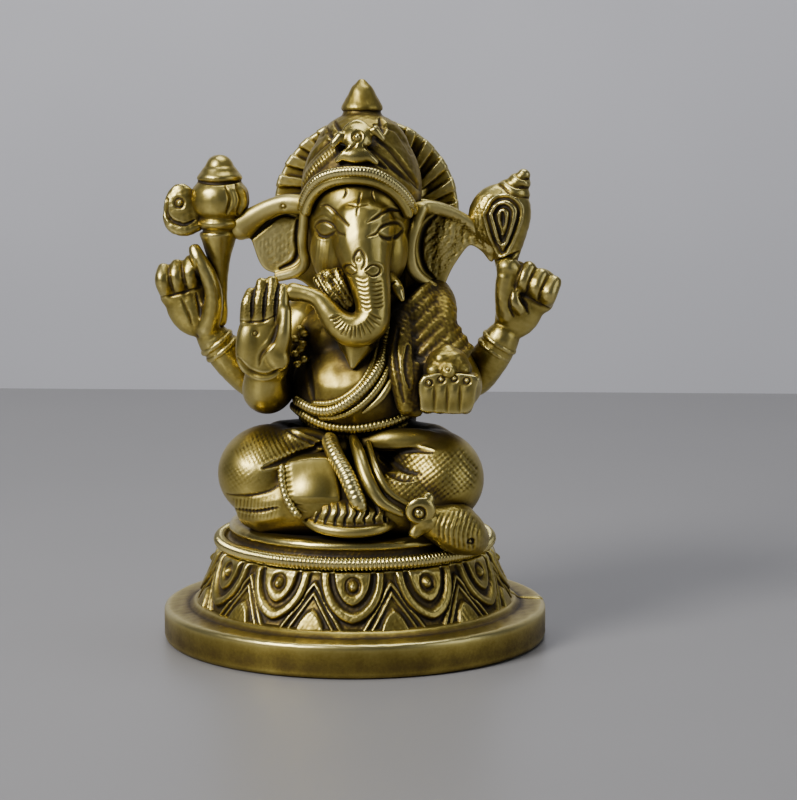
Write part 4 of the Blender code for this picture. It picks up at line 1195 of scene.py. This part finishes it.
def wrist_cuff(name, node, centre, tilt):
    """Two low rounded wires round a wrist."""
    turn = Euler([math.radians(v) for v in tilt]).to_matrix()
    wires = []
    for shift in (-0.8, 0.8):
        loop = [
            Vector(centre) + turn @ Vector((2.95 * math.cos(a), 2.85 * math.sin(a), shift))
            for a in np.linspace(0, math.tau, 25)
        ]
        wires.append(limb([tuple(p) for p in loop], (0.62,) * len(loop), 10))
    form = melt(FINE_GRID, 3, *wires)
    form.push(0.03 * speckle(form, 0.8, 67))
    piece(form, name, [node], CLOTH)


def raised_right_arm():
    form = melt(
        FINE_GRID, 6,
        limb([(-7.6, 5.4, 56), (-13, 5.6, 49.4), (-17.2, 3.6, 45.8), (-21.6, 1.4, 48.8),
              (-25.4, 0.5, 53.6)], (4.6, 4.3, 3.8, 3.3, 3.1)),
        ball((-29.5, 0.3, 58.8), (4.0, 2.6, 5.3), (0, -36, 0)),
        ball((-31.2, 0.3, 61.6), (3.8, 2.3, 3.0), (0, -10, 0)),
        ball((-32.2, 0.6, 64.2), (3.4, 1.8, 2.6)),
        ball((-28.2, 0.0, 63.4), (2.4, 1.7, 4.4), (0, 8, 0)),
        limb([(-26.4, -0.8, 55.6), (-25.2, -2.0, 59.0), (-25.0, -2.6, 62.4), (-26.0, -2.8, 65.6),
              (-27.4, -2.6, 68.0), (-28.3, -2.0, 69.8)], (2.1, 1.8, 1.6, 1.5, 1.4, 1.2)),
        *(
            limb([(-33.5 + 2.4 * i, -0.6, 61.8 + 0.5 * i), (-34.1 + 2.45 * i, -1.9, 64.2 + 0.5 * i),
                  (-34.1 + 2.45 * i, -0.9, 66.2 + 0.75 * i)], (1.4, 1.5, 1.25))
            for i in range(3)
        ),
    )
    chisel(form, [[(-33.0, 66.6), (-32.7, 64.2), (-32.1, 61.8)],
                   [(-30.6, 67.4), (-30.3, 65.0), (-29.7, 62.4)],
                   [(-28.0, 68.0), (-27.8, 66.0), (-27.2, 63.6)]], 0.6, 0.25, 0.1)
    chisel(form, [[(-34.6, 61.2), (-31.6, 61.8), (-27.4, 63.0)],
                   [(-30.8, 61.0), (-29.6, 58.6), (-29.0, 56.4)],
                   [(-28.2, 62.0), (-27.6, 59.6), (-27.4, 57.4)]], 0.55, 0.3)
    form.push(0.02 * speckle(form, 1.6, 65))
    piece(form, "raised_right_arm", ["upper_right_arm", "upper_right_hand"], SKIN)


def raised_left_arm():
    form = melt(
        FINE_GRID, 6,
        limb([(10, 5.4, 56), (15.6, 5.6, 49.6), (20.2, 3.6, 46.4), (23.8, 1.4, 49.8),
              (26.4, 0.5, 54)], (4.6, 4.3, 3.8, 3.5, 3.2)),
        ball((29.4, 0.3, 58.6), (3.9, 2.6, 5.2), (0, 36, 0)),
        ball((32.0, 0.3, 61.4), (3.8, 2.5, 3), (0, 24, 0)),
        ball((33.0, 0.6, 63.2), (3.4, 2.0, 3.4), (0, 20, 0)),
        ball((29.2, 0.0, 64.2), (2.5, 1.9, 3.8), (0, -6, 0)),
        ball((27.4, -2.0, 66.7), (2.2, 1.9, 2.1)),
        limb([(27.0, -1.2, 58.6), (26.6, -2.0, 62.4), (27.0, -2.2, 65.4)], (1.8, 1.6, 1.7)),
        limb([(28.4, -2.2, 62.4), (28.6, -2.6, 60.8), (29.6, -2.4, 59.4)], (1.1, 1.2, 1.0)),
        *(
            limb([(29.9 + 2.2 * i, -1.0, 63.2 - 1.1 * i), (30.1 + 2.25 * i, -2.4, 64.6 - 1.2 * i),
                  (31.1 + 2.25 * i, -1.6, 66.8 - 1.25 * i)], (1.45, 1.55, 1.35))
            for i in range(3)
        ),
    )
    chisel(form, [[(32.2, 66.8), (31.2, 64.4), (30.6, 62.4)], [(34.4, 65.4), (33.3, 63.0), (32.7, 61.2)],
                  [(29.9, 67.4), (29.0, 64.8), (28.6, 62.8)]], 0.6, 0.25, 0.1)
    chisel(form, [[(29.6, 62.4), (32.2, 60.8), (35.0, 59.4)], [(28.0, 62.6), (27.6, 60.4), (28.4, 58.2)],
                  [(29.4, 61.6), (30.6, 60.2), (31.0, 58.8)]], 0.55, 0.3)
    form.push(0.02 * speckle(form, 1.6, 66))
    piece(form, "raised_left_arm", ["upper_left_arm", "upper_left_hand"], SKIN)


def axe_stem():
    x, y, _ = middle("axe_shaft")
    profile = [(0, 55.8), (1.4, 56.6), (1.5, 62), (1.7, 65), (2.1, 68), (2.6, 69.8), (3.0, 71.2),
               (3.3, 72.8), (0, 73.2)]
    stem = melt(FINE_GRID, 4, turned(profile, (x, y, 0)))
    stem.push(0.02 * speckle(stem, 1.8, 71))
    piece(stem, "axe_stem", ["axe_shaft"], SKIN)


def axe_pot():
    """The turned head of the axe: a round pot with a ringed lid."""
    px, py, _ = middle("axe_head")
    profile = [
        (0, 71.6), (2.8, 71.9), (3.2, 72.6), (3.1, 73.2), (3.9, 73.8), (4.2, 74.5), (3.8, 75.2),
        (3.9, 75.6), (4.8, 76.5), (5.3, 78.3), (5.0, 80.3), (4.0, 81.6), (3.7, 81.9), (4.05, 82.3),
        (3.95, 82.8), (3.3, 83.6), (2.95, 84.2), (2.6, 84.5), (2.3, 85.2), (1.8, 85.9), (1.0, 86.4),
        (0, 86.6),
    ]
    pot = melt(FACE_GRID, 3, turned(profile, (px, py, 0)))
    flutes = [[(px + shift + 0.2, 81.3), (px + shift + 1.2, 78.9), (px + shift + 0.4, 76.2)]
              for shift in (1.3, 3.1)]
    chisel(pot, flutes, 0.7, 0.4, 0.4)
    chisel(pot, [[(px - 4.2, 81.9), (px, 81.6), (px + 4.2, 81.9)]], 0.5, 0.35, 0.1)
    pot.push(0.02 * speckle(pot, 2.0, 72))
    piece(pot, "axe_socket_head", ["axe_head"], SKIN)


def axe_blade():
    bx, _, bz = middle("axe_blade")
    blade = melt(
        FINE_GRID, 6,
        ball((bx + 0.2, -1.0, bz), (3.1, 1.5, 4.6), (0, 4, 0)),
        ball((bx + 2.6, -0.6, bz + 0.2), (1.8, 1.5, 3.0)),
        limb([(bx - 2.2, -1.2, bz - 1.4), (bx - 1.2, -1.4, bz - 3.2), (bx + 1.2, -1.6, bz - 3.8),
              (bx + 3.4, -1.0, bz - 3.0)], (0.9, 1.1, 1.1, 1.0)),
    )
    ring_mark(blade, bx + 0.2, bz + 1.1, 0.8, 0.5, 0.35, 0.45)
    chisel(blade, [[(bx - 2.0, bz + 1.8), (bx - 2.1, bz - 0.6), (bx - 1.2, bz - 2.0),
                    (bx + 1.0, bz - 2.7), (bx + 2.8, bz - 2.0)]], 0.6, 0.35)
    blade.push(0.03 * speckle(blade, 1.3, 73))
    piece(blade, "axe_cutting_blade", ["axe_blade"], SKIN)


def conch():
    form = melt(
        FINE_GRID, 4,
        ball((25.7, 0.2, 75.6), (5.5, 3.6, 6.0), (0, 12, 0)),
        ball((27.6, -0.4, 76.0), (3.8, 3.4, 5.8), (0, 4, 0)),
        limb([(27.2, 0.2, 73), (27.0, -0.2, 68.6), (27.0, -0.2, 66.0)], (3.6, 2.3, 1.6)),
        ball((28.4, 0.2, 80.4), (3.0, 2.6, 1.7), (0, 24, 0)),
        ball((29.4, 0.2, 82.0), (2.1, 2.0, 1.2), (0, 24, 0)),
        ball((30.1, 0.2, 83.2), (1.2, 1.2, 1.0), (0, 24, 0)),
    )
    loops = (
        [(23.7, 76.2), (25.0, 78.5), (27.2, 79.1), (29.0, 77.8), (29.2, 76.0), (28.3, 73.2),
         (27.2, 70.6), (26.4, 69.4), (25.5, 70.6), (24.4, 73.4), (23.7, 76.2)],
        [(24.9, 76.3), (25.6, 77.4), (26.8, 77.7), (27.7, 76.7), (27.4, 74.6), (26.7, 72.4),
         (26.3, 71.6), (25.7, 73.6), (24.9, 76.3)],
    )
    for loop, width in zip(loops, (0.5, 0.55)):
        gap, _ = along(form, smooth(loop))
        cut = -0.45 * np.exp(-((gap / (width * 0.6)) ** 2)) + 0.28 * np.exp(-(((gap - 0.6) / 0.3) ** 2))
        form.push(cut * faces_front(form))
    chisel(form, [[(26.3, 76.6), (26.4, 75.0), (26.4, 73.2)]], 0.8, 0.5, 0.2)
    chisel(form, [[(26.4, 82.2), (28.6, 81.2), (31.2, 80.8)], [(25.4, 81.6), (28.0, 79.9), (31.4, 79.0)],
                  [(28.4, 83.2), (29.8, 82.6), (31.4, 82.4)], [(25.2, 68.0), (27.2, 68.6), (29.2, 69.6)]],
           0.6, 0.4, 0.3)
    grain = area(form, [(20.6, 75.6), (22, 79), (25.2, 81.2), (24.2, 78.6), (23.2, 75.8), (24.0, 71.4),
                        (25.2, 69.2), (23.0, 70.4)], 0.6)
    form.push(grain * 0.08 * speckle(form, 0.42, 74))
    form.push(0.02 * speckle(form, 1.6, 75))
    piece(form, "conch_shell", ["conch"], SKIN)


def shawl():
    folds = []
    for k in range(8):
        x, z = 12.0 + 1.05 * k, 63.0 - 1.5 * k
        y = -5.2 - 0.42 * (63 - z)
        folds.append(
            limb([(x + 1.4, y + 1.6, z + 0.8), (x, y - 1.2, z - 0.6), (x - 1.9, y - 3.4, z - 2.6),
                  (x - 3.8, y - 4.4, z - 4.4)], (0.9, 1.15, 1.15, 0.8))
        )
    form = melt(
        FINE_GRID, 9,
        limb([(3.6, 6.4, 56.4), (6.9, 7.0, 60.2), (10.6, 3.0, 62.4), (13.6, -3.0, 60.0),
              (13.8, -8, 55), (12.2, -11.2, 49.4), (10.8, -12.6, 43.6)],
             (2.6, 3.6, 4.4, 4.8, 4.4, 3.4, 2.6),
             flat=0.62, wide=(0.94, -0.1, 0.3)),
        limb([(9.2, -8.4, 58.0), (8.8, -11.8, 53.0), (9.4, -13.4, 48.0), (10.0, -13.6, 43.6)],
             (2.4, 2.4, 2.4, 1.8)),
        limb([(11.6, -13.2, 50.6), (11.0, -14.0, 47.4), (11.6, -14.0, 44.2)], (1.1, 1.2, 0.9)),
        *folds,
    )
    chisel(form, [[(8.4, 57.0), (8.0, 52.6), (8.8, 48.0), (9.6, 44.6)],
                  [(10.2, 54.0), (10.0, 50.6), (10.6, 47.2)]], 0.9, 0.4, 0.3)
    form.push(0.04 * speckle(form, 0.9, 81))
    form.wear_and_shade = -0.14
    piece(form, "shoulder_cloth", ["shoulder_shawl"], AGED)


# ---- Mouse ----------------------------------------------------------------------------------


def mouse():
    body = melt(
        FINE_GRID, 6,
        limb([(15.2, -18.8, 24.0), (17.6, -18.0, 23.2), (19.8, -16.2, 21.9), (21.4, -13.8, 20.4)],
             (3.2, 4.1, 4.1, 3.2)),
        ball((18.8, -16.2, 22.8), (3.7, 4.0, 4.3), (0, 20, -20)),
    )
    coat = area(body, [(14.6, 25.6), (18.1, 27.0), (21.8, 26.4), (23.6, 22.4), (22.2, 19), (18.5, 19.6),
                       (15.2, 22)], 0.8)
    hatch(body, coat, 0.85, 80, 0.20, 1.6, 0.25)
    ring_mark(body, 21.4, 21.0, 0.45, 0.4, 0.4, 0.0)
    body.push(0.03 * speckle(body, 1.0, 91))
    piece(body, "mouse_back", ["mouse_body"], CLOTH)
    face = melt(
        FINE_GRID, 6,
        ball((13.6, -19.8, 24.6), (2.8, 2.6, 2.4), (0, -20, 20)),
        limb([(13.0, -20.4, 24.0), (11.6, -21.4, 22.6)], (1.7, 1.0)),
    )
    face.push(0.03 * speckle(face, 1.0, 92))
    piece(face, "mouse_face", ["mouse_head"], CLOTH)
    ear = melt(
        FACE_GRID, 4,
        ball((12.8, -22.0, 26.6), (2.7, 0.9, 2.6), (10, 0, 8)),
        ball((14.0, -21.4, 28.6), (1.2, 0.8, 1.3)),
    )
    ring_mark(ear, 12.6, 26.3, 1.05, 0.55, 0.5, 0.0)
    gap = np.hypot(ear.v[:, 0] - 12.6, ear.v[:, 2] - 26.3)
    ear.push(0.4 * np.exp(-((gap / 0.55) ** 2)) * faces_front(ear))
    piece(ear, "mouse_round_ear", ["mouse_ear"], TRIM)


# ---- Set, light and camera ------------------------------------------------------------------


def plain(name, color, rough):
    n = Nodes(name)
    coords = n.add("ShaderNodeTexCoord").outputs["Object"]
    soft = n.noise(coords, 9.0, 2.0)
    tone = n.ramp(soft, [(0.3, tuple(c * 0.94 for c in color)), (0.7, color)])
    n.join(tone, n.shader.inputs["Base Color"])
    n.shader.inputs["Roughness"].default_value = rough
    return n.material


def board(name, corners, material):
    mesh = bpy.data.meshes.new(name)
    mesh.from_pydata(corners, [], [(0, 1, 2, 3)])
    mesh.materials.append(material)
    obj = bpy.data.objects.new(name, mesh)
    bpy.context.scene.collection.objects.link(obj)


def lamp(name, place, size, power, color):
    light = bpy.data.lights.new(name, "AREA")
    light.shape = "RECTANGLE"
    light.size, light.size_y = size
    light.energy = power
    light.color = color
    obj = bpy.data.objects.new(name, light)
    obj.location = place
    aim = Vector((0, 0, 0.045)) - Vector(place)
    obj.rotation_euler = aim.to_track_quat("-Z", "Y").to_euler()
    bpy.context.scene.collection.objects.link(obj)


def set_and_light():
    table_edge, back = 0.33, 0.52
    floor = [(-2, -2, 0), (2, -2, 0), (2, table_edge, 0), (-2, table_edge, 0)]
    board("pale_floor", floor, plain("pale_floor", (0.27, 0.265, 0.27), 0.38))
    wall = [(-2, back, -0.5), (2, back, -0.5), (2, back, 2), (-2, back, 2)]
    board("pale_wall", wall, plain("pale_wall", (0.82, 0.82, 0.88), 0.9))
    world = bpy.data.worlds.new("soft_room")
    world.use_nodes = True
    air = world.node_tree.nodes["Background"]
    air.inputs["Color"].default_value = (0.60, 0.64, 0.72, 1)
    air.inputs["Strength"].default_value = 0.10
    bpy.context.scene.world = world
    lamp("window", (-0.40, -0.40, 0.46), (0.24, 0.30), 5.6, (1.0, 0.98, 0.95))
    lamp("ceiling", (0.05, 0.08, 0.62), (0.4, 0.3), 1.7, (0.95, 0.97, 1.0))
    lamp("far_fill", (0.55, -0.25, 0.22), (0.3, 0.4), 0.45, (0.95, 0.97, 1.0))


CAMERA_AZIMUTH = math.radians(4.0)
CAMERA_RISE = math.radians(13.4)
CAMERA_DISTANCE = 439.0
LENS = 108
AIM_RIGHT = 8.05
AIM_UP = 42.5


def camera():
    a, e = CAMERA_AZIMUTH, CAMERA_RISE
    back = Vector((math.sin(a) * math.cos(e), -math.cos(a) * math.cos(e), math.sin(e)))
    right = Vector((math.cos(a), math.sin(a), 0))
    up = back.cross(right)
    middle_low = (Vector(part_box("base_plate")[0]) + Vector(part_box("base_plate")[1])) / 2
    foot = Vector((middle_low.x, middle_low.y, 0))
    lens = bpy.data.cameras.new("camera")
    lens.lens = LENS
    lens.sensor_width = 36
    lens.clip_start = 0.01
    obj = bpy.data.objects.new("camera", lens)
    obj.location = foot + back * CAMERA_DISTANCE * MM
    aim = foot + (right * AIM_RIGHT + up * AIM_UP) * MM - obj.location
    obj.rotation_euler = aim.to_track_quat("-Z", "Y").to_euler()
    bpy.context.scene.collection.objects.link(obj)
    bpy.context.scene.camera = obj


def build():
    base_plate()
    lotus_pedestal()
    pedestal_rope()
    plinth()
    body = torso()
    right_leg()
    left_leg()
    sashes(skin_of(body))
    shin_and_anklet()
    dhoti_fan()
    head()
    tusks()
    chin()
    crown()
    turban_rim()
    turban_jewel()
    finial()
    halo()
    right_ear()
    left_ear()
    blessing_arm()
    armlet()
    offering_arm()
    heap_of_sweets()
    raised_right_arm()
    raised_left_arm()
    wrist_cuff("right_wrist_cuff", "upper_right_bracelet", (-24.4, 0.7, 52.3), (8, -38, 0))
    wrist_cuff("left_wrist_cuff", "upper_left_bracelet", (25.5, 0.7, 52.6), (8, 33, 0))
    axe_stem()
    axe_pot()
    axe_blade()
    conch()
    shawl()
    mouse()


build()
set_and_light()
camera()
